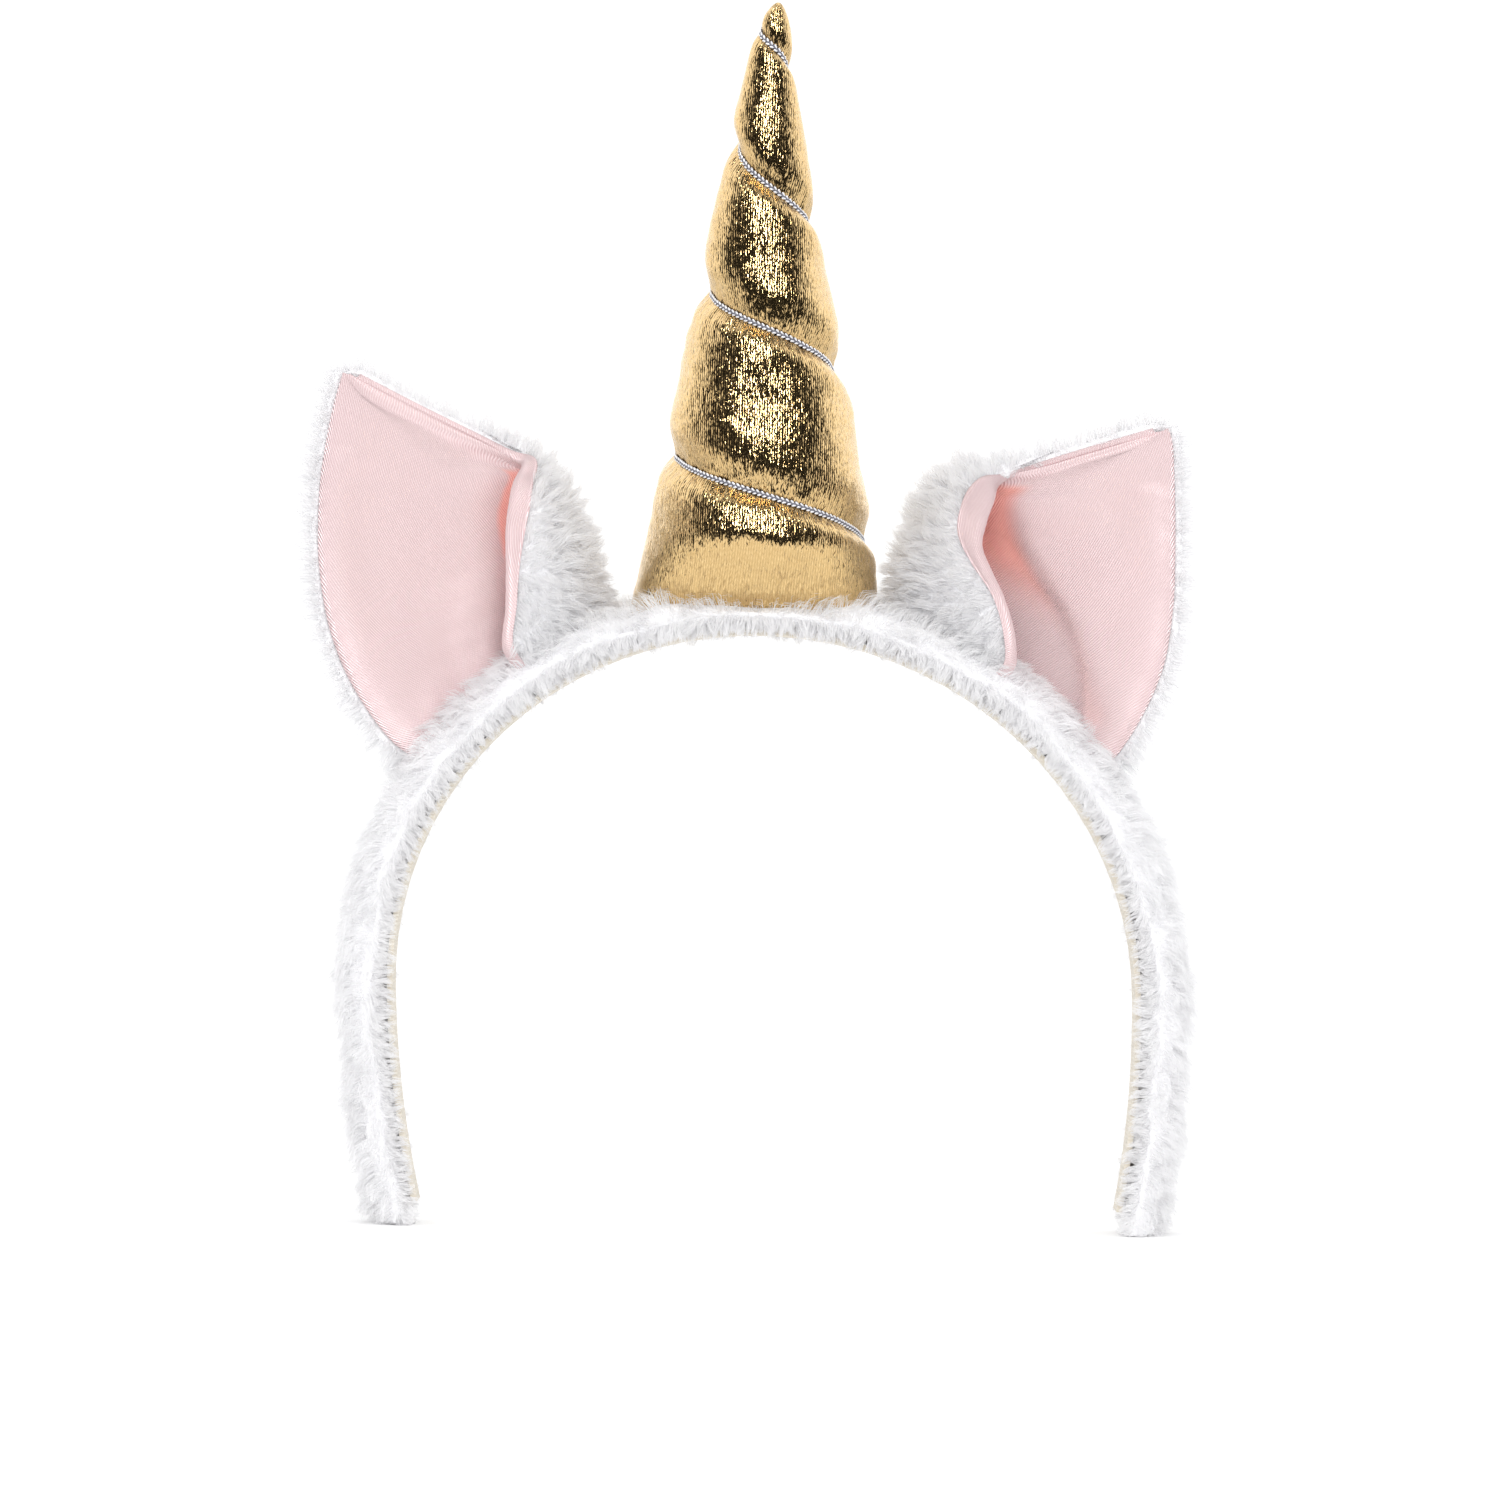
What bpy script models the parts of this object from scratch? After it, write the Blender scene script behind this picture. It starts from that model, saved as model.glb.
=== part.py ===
"""A unicorn horn headband: a plush-covered arch that stands on its two ends, with a stuffed gold horn
wound with a silver cord, and two cupped ears of white plush lined with pink satin.

Metres, +Z up. The front faces -Y, and the two ends of the arch stand on Z = 0.
Sizes and places below are in millimetres, and MM turns them into metres.
"""

import math

import bmesh
import bpy
from mathutils import Vector
from mathutils.bvhtree import BVHTree

MM = 0.001
GAP = 0.3

# The middle of the whole headband's box, as X and Y from the middle of the arch. It becomes the origin.
BOX_MIDDLE = (-2.3, 0.05)

# The arch, measured at its inner face, where it meets the hair
HEAD_HALF_WIDTH = 74.0
CROWN_RISE = 70.8
WIDEST_Z = 47.8
ARM_CURVE = 127.0
WIDEST_AT = 0.70
ARM_OVERRUN = 1.08
SWAY_CROWN = -1.1
SWAY_FEET = 2.3
ARCH_SECTIONS = 54

# The woven tape on the inner face
TAPE_THICK = 1.1
TAPE_WIDE_CROWN = 21.0
TAPE_WIDE_END = 15.0
TAPE_END = 0.97

# The plush cover, as depth from front to back, and as radial thickness along each half of the arch
PLUSH_DEPTH_CROWN = 30.0
PLUSH_DEPTH_END = 22.0
PLUSH_THICKNESS = (
    # share of the half arch, thickness
    (0.00, 8.2),
    (0.16, 9.6),
    (0.70, 9.6),
    (1.00, 8.6),
)
PLUSH_SQUARENESS = 3.0
PLUSH_SIDES = 16

# The horn
HORN_TIP_Z = 245.2
HORN_BASE_Z = 124.2
HORN_BASE_SAG = 4.6
HORN_TIP_RADIUS = 2.4
HORN_SLOPE = 0.19
HORN_AXIS_X = -1.2
HORN_BASE_LEAN = -1.2
HORN_TIP_LEAN = 1.9
HORN_BASE_DEPTH = 13.8
HORN_ROUND_Z = 144.0
HORN_TIP_ROUND = 7.0
GROOVE_DEPTH = 2.3
GROOVE_ABOVE = 4.2
GROOVE_BELOW = 2.6
HORN_RINGS = 44
HORN_SIDES = 32

# The silver cord, as the height that it has come down to after each half turn from the tip
CORD_DIAMETER = 1.1
CORD_HEIGHTS = (243.0, 239.4, 231.8, 216.6, 200.6, 187.4, 171.4, 154.8, 137.8, 121.5)
CORD_START_TURN = 0.12
CORD_END_TURN = 4.27
CORD_POINTS_PER_TURN = 26

# The ears, with a row for each section from just above the band to the tip.
# Each section runs from the outer edge over the satin panel to the crease, round the bulge at
# the back of the fold, and forward to the lip of the flap. There the satin turns over the edge
# of the plush by wrap degrees, and goes on for lip_w.
EAR_COLUMNS = (
    "outer_x", "outer_z", "crease_x", "crease_z", "bulge_x", "bulge_z", "lip_x", "lip_z",
    "outer_y", "panel_y", "crease_y", "pocket_y", "flap_y", "lip_y", "wrap", "lip_w",
)
LEFT_EAR = (
    (-74.4, 96.2, -50.6, 113.2, -35.0, 123.8, -50.4, 115.6, -1.0, 2.6, 4.2, 9.5, -6.5, -8.5, 180, 0.5),
    (-82.4, 107.2, -50.4, 121.8, -36.4, 129.4, -50.0, 123.6, -1.4, 3.2, 4.4, 9.0, -6.4, -8.5, 180, 0.6),
    (-87.2, 118.8, -50.6, 129.4, -38.2, 135.0, -50.0, 131.4, -1.8, 3.6, 4.4, 8.2, -6.0, -8.0, 180, 1.7),
    (-89.4, 131.0, -52.6, 136.4, -40.4, 140.2, -50.2, 138.4, -2.0, 3.6, 4.0, 7.2, -5.2, -7.2, 180, 3.2),
    (-89.7, 140.6, -53.4, 141.8, -42.2, 144.4, -49.8, 143.6, -2.0, 3.4, 3.6, 6.2, -4.4, -6.3, 178, 3.5),
    (-89.4, 148.2, -52.4, 146.4, -44.2, 148.0, -49.2, 148.0, -2.0, 3.0, 2.8, 4.4, -3.0, -4.8, 168, 2.8),
    (-88.7, 153.6, -51.4, 150.6, -46.8, 151.0, -48.2, 151.4, -2.0, 2.4, 1.8, 2.2, -1.6, -3.2, 140, 1.6),
    (-88.0, 158.2, -58.6, 154.6, -52.0, 154.2, -51.0, 153.8, -2.0, 1.8, 0.6, 0.2, -0.3, -0.6, 105, 0.5),
    (-87.2, 162.4, -66.6, 159.6, -61.6, 158.8, -59.6, 158.2, -2.1, 1.0, 0.0, -0.3, -0.5, -0.7, 85, 0.5),
    (-86.2, 166.6, -75.6, 164.6, -72.6, 164.0, -71.0, 163.6, -2.3, -0.2, -0.9, -1.1, -1.2, -1.3, 80, 0.5),
    (-85.2, 169.8, -83.8, 169.7, -83.2, 169.6, -82.6, 169.4, -2.5, -2.3, -2.3, -2.3, -2.4, -2.5, 80, 0.5),
)
RIGHT_EAR = (
    (70.0, 94.4, 62.0, 102.0, 28.2, 123.6, 48.4, 114.0, -1.0, 1.6, 4.0, 9.8, -5.2, -9.0, 180, 0.8),
    (75.8, 103.4, 61.8, 113.0, 28.6, 129.6, 48.0, 120.6, -1.2, 1.8, 4.6, 10.0, -5.4, -9.0, 180, 1.0),
    (80.0, 114.0, 58.0, 124.6, 30.2, 136.0, 46.0, 127.4, -1.6, 1.8, 5.4, 10.0, -5.4, -8.6, 180, 1.6),
    (81.6, 125.4, 52.4, 132.8, 32.2, 141.4, 43.4, 133.2, -2.0, 1.6, 6.2, 9.6, -4.8, -8.0, 180, 3.0),
    (81.8, 134.6, 49.4, 138.4, 33.8, 145.2, 41.8, 137.8, -2.2, 1.4, 6.4, 8.8, -4.2, -7.4, 178, 4.2),
    (81.7, 142.4, 47.8, 143.4, 36.0, 148.6, 42.6, 142.4, -2.2, 1.0, 5.2, 6.4, -3.0, -6.0, 168, 4.6),
    (81.5, 148.4, 48.0, 147.6, 39.2, 150.6, 44.2, 147.0, -2.2, 0.8, 3.2, 3.4, -2.0, -4.2, 145, 3.6),
    (81.3, 152.6, 51.4, 150.8, 45.2, 151.6, 46.4, 150.6, -2.2, 0.4, 0.8, 0.4, -0.4, -1.0, 110, 1.2),
    (81.1, 156.2, 60.0, 154.2, 55.4, 154.0, 53.6, 153.4, -2.3, -0.1, -0.3, -0.5, -0.7, -0.9, 85, 0.5),
    (80.8, 159.0, 69.6, 157.8, 66.6, 157.4, 65.0, 157.0, -2.5, -0.8, -1.2, -1.4, -1.5, -1.6, 80, 0.5),
    (80.2, 161.2, 79.0, 161.1, 78.4, 161.0, 77.8, 160.9, -2.6, -2.4, -2.4, -2.4, -2.5, -2.6, 80, 0.5),
)
EAR_PLUSH_THICK = 2.4
EAR_SATIN_THICK = 1.0
EAR_LAYER_GAP = 0.3
EAR_ROOT_DEPTH = 5.4
EAR_STEPS_ACROSS = 2
EAR_STEPS_UP = 1
EAR_WRAP_STEPS = 5
ROOT_SEARCH_STEPS = 200

# Colours and finishes, as red, green, blue, roughness and metallic
FINISHES = {
    "white_plush": (0.90, 0.90, 0.92, 0.95, 0.0),
    "cream_tape": (0.84, 0.80, 0.72, 0.85, 0.0),
    "gold_lame": (0.83, 0.62, 0.30, 0.35, 0.9),
    "silver_braid": (0.72, 0.73, 0.76, 0.30, 0.9),
    "pink_satin": (0.88, 0.66, 0.67, 0.40, 0.0),
}


# Scene, collections and materials


def empty_scene():
    for obj in list(bpy.data.objects):
        bpy.data.objects.remove(obj)


def new_collection(name):
    collection = bpy.data.collections.new(name)
    bpy.context.scene.collection.children.link(collection)
    return collection


def new_material(name):
    red, green, blue, roughness, metallic = FINISHES[name]
    material = bpy.data.materials.new(name)
    material.use_nodes = True
    shader = material.node_tree.nodes["Principled BSDF"]
    shader.inputs["Base Color"].default_value = (red, green, blue, 1.0)
    shader.inputs["Roughness"].default_value = roughness
    shader.inputs["Metallic"].default_value = metallic
    material.diffuse_color = (red, green, blue, 1.0)
    return material


def object_from(bm, name, collection, material=None):
    """A new object, in metres, from a bmesh in millimetres."""
    bmesh.ops.scale(bm, vec=(MM, MM, MM), verts=bm.verts)
    mesh = bpy.data.meshes.new(name)
    bm.to_mesh(mesh)
    bm.free()
    obj = bpy.data.objects.new(name, mesh)
    collection.objects.link(obj)
    if material:
        mesh.materials.append(material)
    mesh.shade_smooth()
    mesh.set_sharp_from_angle(angle=math.radians(40))
    return obj


# Curves through short tables


def smoothstep(value):
    value = min(1.0, max(0.0, value))
    return value * value * (3 - 2 * value)


def from_table(table, at):
    """The value at a place in rows of (place, value), eased from row to row."""
    for (low, first), (high, second) in zip(table, table[1:]):
        if at <= high:
            return first + (second - first) * smoothstep((at - low) / (high - low))
    return table[-1][1]


def spline_point(points, at):
    """A point of the Catmull-Rom curve through points; at counts them from 0."""
    last = len(points) - 1
    index = min(int(at), last - 1)
    share = at - index
    before = points[index - 1] if index > 0 else points[0] * 2 - points[1]
    first, second = points[index], points[index + 1]
    after = points[index + 2] if index + 2 <= last else points[last] * 2 - points[last - 1]
    return 0.5 * (
        2 * first
        + (second - before) * share
        + (2 * before - 5 * first + 4 * second - after) * share**2
        + (3 * first - before - 3 * second + after) * share**3
    )


# The arch that the band follows


def arch_frame(place):
    """The inner face and its outward direction, at -1 on the left foot, 0 at the crown, 1 on the right foot."""
    half = abs(place)
    side = -1.0 if place < 0 else 1.0
    if half <= WIDEST_AT:
        angle = 0.5 * math.pi * half / WIDEST_AT
        x, rise, curve = HEAD_HALF_WIDTH * math.sin(angle), CROWN_RISE * math.cos(angle), CROWN_RISE
    else:
        drop = WIDEST_Z * (half - WIDEST_AT) / (1 - WIDEST_AT)
        x, rise, curve = HEAD_HALF_WIDTH * math.sqrt(1 - (drop / ARM_CURVE) ** 2), -drop, ARM_CURVE
    outward = Vector((side * x / HEAD_HALF_WIDTH**2, 0, rise / curve**2)).normalized()
    z = WIDEST_Z + rise
    sway = SWAY_FEET + (SWAY_CROWN - SWAY_FEET) * z / (WIDEST_Z + CROWN_RISE)
    return Vector((side * x + sway, 0, z)), outward


def plush_depth(place):
    return PLUSH_DEPTH_CROWN + (PLUSH_DEPTH_END - PLUSH_DEPTH_CROWN) * smoothstep(abs(place))


def plush_section(place, grow):
    """A rounded oblong around the arch; grow moves it outwards on every side."""
    foot, outward = arch_frame(place)
    half_depth = plush_depth(place) / 2 + grow
    half_thick = from_table(PLUSH_THICKNESS, abs(place)) / 2 + grow
    middle = TAPE_THICK + GAP + half_thick - grow
    points = []
    for side in range(PLUSH_SIDES):
        angle = 2 * math.pi * (side + 0.5) / PLUSH_SIDES
        cosine, sine = math.cos(angle), math.sin(angle)
        power = 2 / PLUSH_SQUARENESS
        y = half_depth * math.copysign(abs(cosine) ** power, cosine)
        rise = half_thick * math.copysign(abs(sine) ** power, sine)
        points.append(foot + outward * (middle + rise) + Vector((0, y, 0)))
    return points


def loft(sections):
    """A closed bmesh through closed sections of equal length, with a flat face on each end."""
    bm = bmesh.new()
    rings = [[bm.verts.new(point) for point in section] for section in sections]
    for ring, following in zip(rings, rings[1:]):
        for side in range(len(ring)):
            after = (side + 1) % len(ring)
            bm.faces.new((ring[side], ring[after], following[after], following[side]))
    bm.faces.new(rings[0])
    bm.faces.new(rings[-1])
    bmesh.ops.recalc_face_normals(bm, faces=bm.faces)
    return bm


def arch_places(reach):
    return [reach * (2 * step / (ARCH_SECTIONS - 1) - 1) for step in range(ARCH_SECTIONS)]


def build_band_plush(collection, material):
    bm = loft([plush_section(place, 0.0) for place in arch_places(ARM_OVERRUN)])
    whole = bm.verts[:] + bm.edges[:] + bm.faces[:]
    cut = bmesh.ops.bisect_plane(
        bm, geom=whole, dist=1e-4, plane_co=(0, 0, 0), plane_no=(0, 0, -1), clear_outer=True
    )
    rim = [item for item in cut["geom_cut"] if isinstance(item, bmesh.types.BMEdge)]
    bmesh.ops.holes_fill(bm, edges=rim, sides=0)
    bmesh.ops.recalc_face_normals(bm, faces=bm.faces)
    return object_from(bm, "band_plush", collection, material)


def build_band_cutter(collection):
    """The band grown by the gap. It trims the horn and the ears to their seats."""
    cutter = object_from(
        loft([plush_section(place, GAP) for place in arch_places(ARM_OVERRUN)]), "band_cutter", collection
    )
    cutter.hide_render = True
    cutter.display_type = "WIRE"
    return cutter


def seat_on_band(obj, cutter):
    trim = obj.modifiers.new("seat", "BOOLEAN")
    trim.operation = "DIFFERENCE"
    trim.solver = "EXACT"
    trim.object = cutter


# The woven tape


def grid_surface(rows):
    """An open bmesh sheet through rows of points."""
    bm = bmesh.new()
    lines = [[bm.verts.new(point) for point in row] for row in rows]
    for line, following in zip(lines, lines[1:]):
        for step in range(len(line) - 1):
            bm.faces.new((line[step], line[step + 1], following[step + 1], following[step]))
    return bm


def build_inner_tape(collection, material):
    rows = []
    for place in arch_places(TAPE_END):
        foot, outward = arch_frame(place)
        wide = TAPE_WIDE_CROWN + (TAPE_WIDE_END - TAPE_WIDE_CROWN) * smoothstep(abs(place))
        rows.append([foot + Vector((0, y * wide, 0)) for y in (-0.5, 0.0, 0.5)])
    tape = object_from(grid_surface(rows), "inner_tape", collection, material)
    wall = tape.modifiers.new("thickness", "SOLIDIFY")
    wall.thickness = TAPE_THICK * MM
    wall.offset = -1.0
    return tape


# The horn


def cord_height(turn):
    """The height of the cord's line, so many turns down from the tip."""
    return spline_point([Vector((0, 0, z)) for z in CORD_HEIGHTS], 2 * turn).z


def groove(angle, z, radius):
    """How far the cord's tension draws the cloth in. angle counts from +X, over the back."""
    share = (angle / (2 * math.pi)) % 1.0
    depth = min(GROOVE_DEPTH, 0.32 * radius)
    drawn = 0.0
    for turn in range(5):
        at = turn + share
        if not CORD_START_TURN <= at <= CORD_END_TURN:
            continue
        above = z - cord_height(at)
        width = GROOVE_ABOVE if above > 0 else GROOVE_BELOW
        width *= min(1.0, 0.35 + radius / 14)
        drawn = max(drawn, depth * math.exp(-((above / width) ** 2)))
    return drawn


def horn_section(z):
    """The ring at a height. Towards the base its sides dip, to follow the arch of the band."""
    drop = HORN_TIP_Z - z
    radius = HORN_TIP_RADIUS + HORN_SLOPE * drop
    if drop < HORN_TIP_ROUND:
        radius *= math.sqrt(max(0.02, 1 - (1 - drop / HORN_TIP_ROUND) ** 2))
    flat = 1 - smoothstep((z - HORN_BASE_Z) / (HORN_ROUND_Z - HORN_BASE_Z))
    deep = radius + (HORN_BASE_DEPTH - radius) * flat
    lean = HORN_AXIS_X + HORN_TIP_LEAN * math.exp(-drop / 10) + HORN_BASE_LEAN * flat
    points = []
    for side in range(HORN_SIDES):
        angle = 2 * math.pi * side / HORN_SIDES
        down = z - HORN_BASE_SAG * flat * math.cos(angle) ** 2
        share = 1 - groove(angle, down, radius) / radius
        points.append(
            Vector((lean + radius * share * math.cos(angle), deep * share * math.sin(angle), down))
        )
    return points


def build_horn(collection, material, cutter):
    rise = HORN_TIP_Z - HORN_BASE_Z
    heights = [HORN_BASE_Z + rise * step / HORN_RINGS for step in range(HORN_RINGS)]
    heights += [HORN_TIP_Z - 0.9, HORN_TIP_Z - 0.1]
    horn = object_from(loft([horn_section(z) for z in heights]), "horn", collection, material)
    seat_on_band(horn, cutter)
    return horn


def build_spiral_cord(collection, material, horn):
    """The cord lies on the horn's own surface, found by rays cast outwards from the horn's axis."""
    bpy.context.view_layer.update()
    surface = BVHTree.FromObject(horn, bpy.context.evaluated_depsgraph_get())
    radius = CORD_DIAMETER / 2
    count = round((CORD_END_TURN - CORD_START_TURN) * CORD_POINTS_PER_TURN)
    route = []
    for step in range(count + 1):
        turn = CORD_START_TURN + (CORD_END_TURN - CORD_START_TURN) * step / count
        z = cord_height(turn)
        angle = 2 * math.pi * turn
        outward = Vector((math.cos(angle), math.sin(angle), 0))
        centre = sum(horn_section(z), Vector()) / HORN_SIDES
        reach = 0.0
        for turned in (-0.12, 0.0, 0.12):
            along = Vector((math.cos(angle + turned), math.sin(angle + turned), 0))
            for lift in (-radius, -radius / 2, 0.0, radius / 2, radius):
                start = (centre + Vector((0, 0, lift))) * MM
                hit = surface.ray_cast(start, along)
                if hit[0]:
                    reach = max(reach, hit[3] / MM)
        route.append(centre + outward * (reach + radius + GAP))
    curve = bpy.data.curves.new("spiral_cord", "CURVE")
    curve.dimensions = "3D"
    curve.bevel_depth = radius * MM
    curve.bevel_resolution = 2
    curve.use_fill_caps = True
    spline = curve.splines.new("POLY")
    spline.points.add(len(route) - 1)
    for point, place in zip(spline.points, route):
        point.co = (*(place * MM), 1.0)
    cord = bpy.data.objects.new("spiral_cord", curve)
    collection.objects.link(cord)
    curve.materials.append(material)
    return cord


# The ears


def ear_controls(row):
    """The points that one section of an ear passes through, from the outer edge to the lip."""
    named = dict(zip(EAR_COLUMNS, row))

    def at(part, y):
        return Vector((named[part + "_x"], y, named[part + "_z"]))

    outer = at("outer", named["outer_y"])
    crease = at("crease", named["crease_y"])
    bulge = at("bulge", 0.5 * (named["pocket_y"] + named["flap_y"]))
    lip = at("lip", named["lip_y"])
    panel = outer.lerp(crease, 0.5)
    panel.y = named["panel_y"]
    pocket = crease.lerp(bulge, 0.62)
    pocket.y = named["pocket_y"]
    flap = bulge.lerp(lip, 0.42)
    flap.y = named["flap_y"]
    return [outer, panel, crease, pocket, bulge, flap, lip]


def root_in_band(point):
    """The place inside the band that is nearest to a point above it."""
    feet = [arch_frame(step / ROOT_SEARCH_STEPS) for step in range(-ROOT_SEARCH_STEPS, ROOT_SEARCH_STEPS)]
    flat = Vector((point.x, 0, point.z))
    foot, outward = min(feet, key=lambda feet_at: (feet_at[0] - flat).length)
    root = foot + outward * EAR_ROOT_DEPTH
    root.y = point.y
    return root


def ear_surface(table):
    """Rows of points over the ear, between its two layers, from inside the band to the tip."""
    controls = [ear_controls(row) for row in table]
    controls.insert(0, [root_in_band(point) for point in controls[0]])
    across = (len(controls[0]) - 1) * EAR_STEPS_ACROSS
    up = (len(controls) - 1) * EAR_STEPS_UP
    rows = []
    for step in range(up + 1):
        at_row = step / EAR_STEPS_UP
        section = [
            spline_point([row[column] for row in controls], at_row) for column in range(len(controls[0]))
        ]
        rows.append([spline_point(section, place / EAR_STEPS_ACROSS) for place in range(across + 1)])
    return rows


def surface_directions(rows, facing):
    """For each point, the unit direction to the plush side and the one towards the lip."""
    backs, towards = [], []
    for index, row in enumerate(rows):
        below, above = rows[max(0, index - 1)], rows[min(len(rows) - 1, index + 1)]
        back_row, toward_row = [], []
        for place in range(len(row)):
            along = row[min(len(row) - 1, place + 1)] - row[max(0, place - 1)]
            back_row.append((above[place] - below[place]).cross(along).normalized() * facing)
            toward_row.append(along.normalized())
        backs.append(back_row)
        towards.append(toward_row)
    return backs, towards


def thickened(rows, backs, near, far):
    """A closed bmesh between two offsets of a sheet."""
    bm = bmesh.new()
    walls = [
        [
            [bm.verts.new(point + back * offset) for point, back in zip(row, back_row)]
            for row, back_row in zip(rows, backs)
        ]
        for offset in (near, far)
    ]
    for wall in walls:
        for line, following in zip(wall, wall[1:]):
            for place in range(len(line) - 1):
                bm.faces.new((line[place], line[place + 1], following[place + 1], following[place]))
    for index in range(len(rows) - 1):
        for place in (0, -1):
            first, second = walls
            bm.faces.new(
                (first[index][place], first[index + 1][place], second[index + 1][place], second[index][place])
            )
    for index in (0, -1):
        for place in range(len(rows[0]) - 1):
            first, second = walls[0][index], walls[1][index]
            bm.faces.new((first[place], first[place + 1], second[place + 1], second[place]))
    bmesh.ops.recalc_face_normals(bm, faces=bm.faces)
    return bm


def satin_with_wrap(rows, backs, towards, table):
    """The satin's rows and directions, carried on round the plush's edge and back over its outer side."""
    inner = -EAR_LAYER_GAP / 2 - EAR_SATIN_THICK / 2
    outer = EAR_LAYER_GAP * 1.5 + EAR_PLUSH_THICK + EAR_SATIN_THICK / 2
    turn_radius = (outer - inner) / 2
    turn_middle = (outer + inner) / 2
    satin_rows, satin_backs = [], []
    for index, (row, back_row, toward_row) in enumerate(zip(rows, backs, towards)):
        at_row = max(0, index // EAR_STEPS_UP - 1)
        named = dict(zip(EAR_COLUMNS, table[at_row]))
        edge, back, toward = row[-1], back_row[-1], toward_row[-1]
        points = [point + direction * inner for point, direction in zip(row, back_row)]
        directions = list(back_row)
        edge_out = edge + toward * EAR_LAYER_GAP
        for step in range(1, EAR_WRAP_STEPS + 1):
            angle = math.radians(named["wrap"]) * step / EAR_WRAP_STEPS
            swing = back * -math.cos(angle) + toward * math.sin(angle)
            points.append(edge_out + back * turn_middle + swing * turn_radius)
            directions.append(-swing)
        onward = back * math.sin(angle) + toward * math.cos(angle)
        points.append(points[-1] + onward * named["lip_w"])
        directions.append(-swing)
        satin_rows.append(points)
        satin_backs.append(directions)
    return satin_rows, satin_backs


def build_ear(name, table, facing, collection, plush, satin, cutter):
    rows = ear_surface(table)
    backs, towards = surface_directions(rows, facing)
    near, far = EAR_LAYER_GAP / 2, EAR_LAYER_GAP / 2 + EAR_PLUSH_THICK
    shell = object_from(thickened(rows, backs, near, far), name + "_plush", collection, plush)
    seat_on_band(shell, cutter)
    lining_rows, lining_backs = satin_with_wrap(rows, backs, towards, table)
    half = EAR_SATIN_THICK / 2
    lining = object_from(
        thickened(lining_rows, lining_backs, -half, half), name + "_satin", collection, satin
    )
    seat_on_band(lining, cutter)


def carry_to_origin(collections):
    origin = bpy.data.objects.new("headband_origin", None)
    bpy.context.scene.collection.objects.link(origin)
    origin.location = (-BOX_MIDDLE[0] * MM, -BOX_MIDDLE[1] * MM, 0)
    for collection in collections:
        for obj in collection.objects:
            obj.parent = origin


def main():
    empty_scene()
    parts = new_collection("unicorn_horn_headband")
    cutters = new_collection("cutters")
    materials = {name: new_material(name) for name in FINISHES}
    cutter = build_band_cutter(cutters)
    build_band_plush(parts, materials["white_plush"])
    build_inner_tape(parts, materials["cream_tape"])
    horn = build_horn(parts, materials["gold_lame"], cutter)
    build_spiral_cord(parts, materials["silver_braid"], horn)
    for name, table, facing in (("left_ear", LEFT_EAR, 1.0), ("right_ear", RIGHT_EAR, -1.0)):
        build_ear(name, table, facing, parts, materials["white_plush"], materials["pink_satin"], cutter)
    carry_to_origin([parts, cutters])


main()
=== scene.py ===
import math

import bpy
import numpy as np
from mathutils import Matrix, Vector
from mathutils.bvhtree import BVHTree
from mathutils.kdtree import KDTree


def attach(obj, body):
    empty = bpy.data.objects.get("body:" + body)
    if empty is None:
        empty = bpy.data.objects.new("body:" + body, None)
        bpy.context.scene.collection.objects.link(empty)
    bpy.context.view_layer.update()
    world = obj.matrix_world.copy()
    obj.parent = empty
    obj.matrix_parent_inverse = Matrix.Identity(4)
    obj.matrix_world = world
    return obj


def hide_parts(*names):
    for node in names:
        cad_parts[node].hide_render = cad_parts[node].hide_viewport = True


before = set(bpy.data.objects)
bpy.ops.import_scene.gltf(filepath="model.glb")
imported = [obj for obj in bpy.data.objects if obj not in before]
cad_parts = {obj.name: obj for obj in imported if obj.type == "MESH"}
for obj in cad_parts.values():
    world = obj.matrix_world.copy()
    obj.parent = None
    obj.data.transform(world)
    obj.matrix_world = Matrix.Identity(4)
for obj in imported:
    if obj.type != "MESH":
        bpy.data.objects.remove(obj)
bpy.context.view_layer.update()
bpy.ops.object.select_all(action="DESELECT")

# Camera: level with the foot of the ears, far enough off that the arch shows hardly any of its depth,
# and turned a little, because the headband sits a little crooked in the picture.

camera_data = bpy.data.cameras.new("camera")
camera_data.sensor_width = 36
camera_data.lens = 192
camera = bpy.data.objects.new("camera", camera_data)
bpy.context.scene.collection.objects.link(camera)
camera.location = (-0.0003, -1.6, 0.0956)
camera.rotation_euler = (math.radians(90), math.radians(-0.9), 0)
bpy.context.scene.camera = camera

# Band: a stiff arch wrapped in padding and short white plush. The plush is sewn shut on the inner face,
# under the tape. Its pile stands about 4 mm high, in small tufts that lean down the arms.

MM = 0.001
ARCH_MIDDLE_X = 2.3
ARCH_MIDDLE_Z = 48.0
PILE_SINKS = 2.7
PILE_HIGH = 4.6
PILE_PER_MM2 = 6.0
PILE_IN_A_TUFT = 26
PILE_WIDE = 0.13
PILE_ROOT_SINKS = 0.4
LOWEST = 0.1
BAND_LUMPS = 0.8


def shader_of(name):
    """A new material, with its node tree and its Principled shader."""
    material = bpy.data.materials.new(name)
    material.use_nodes = True
    return material, material.node_tree, material.node_tree.nodes["Principled BSDF"]


def reckon(tree, operation, *values):
    """A Math node on sockets and plain numbers."""
    node = tree.nodes.new("ShaderNodeMath")
    node.operation = operation
    for socket, value in zip(node.inputs, values):
        if isinstance(value, (int, float)):
            socket.default_value = value
        else:
            tree.links.new(value, socket)
    return node.outputs[0]


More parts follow.
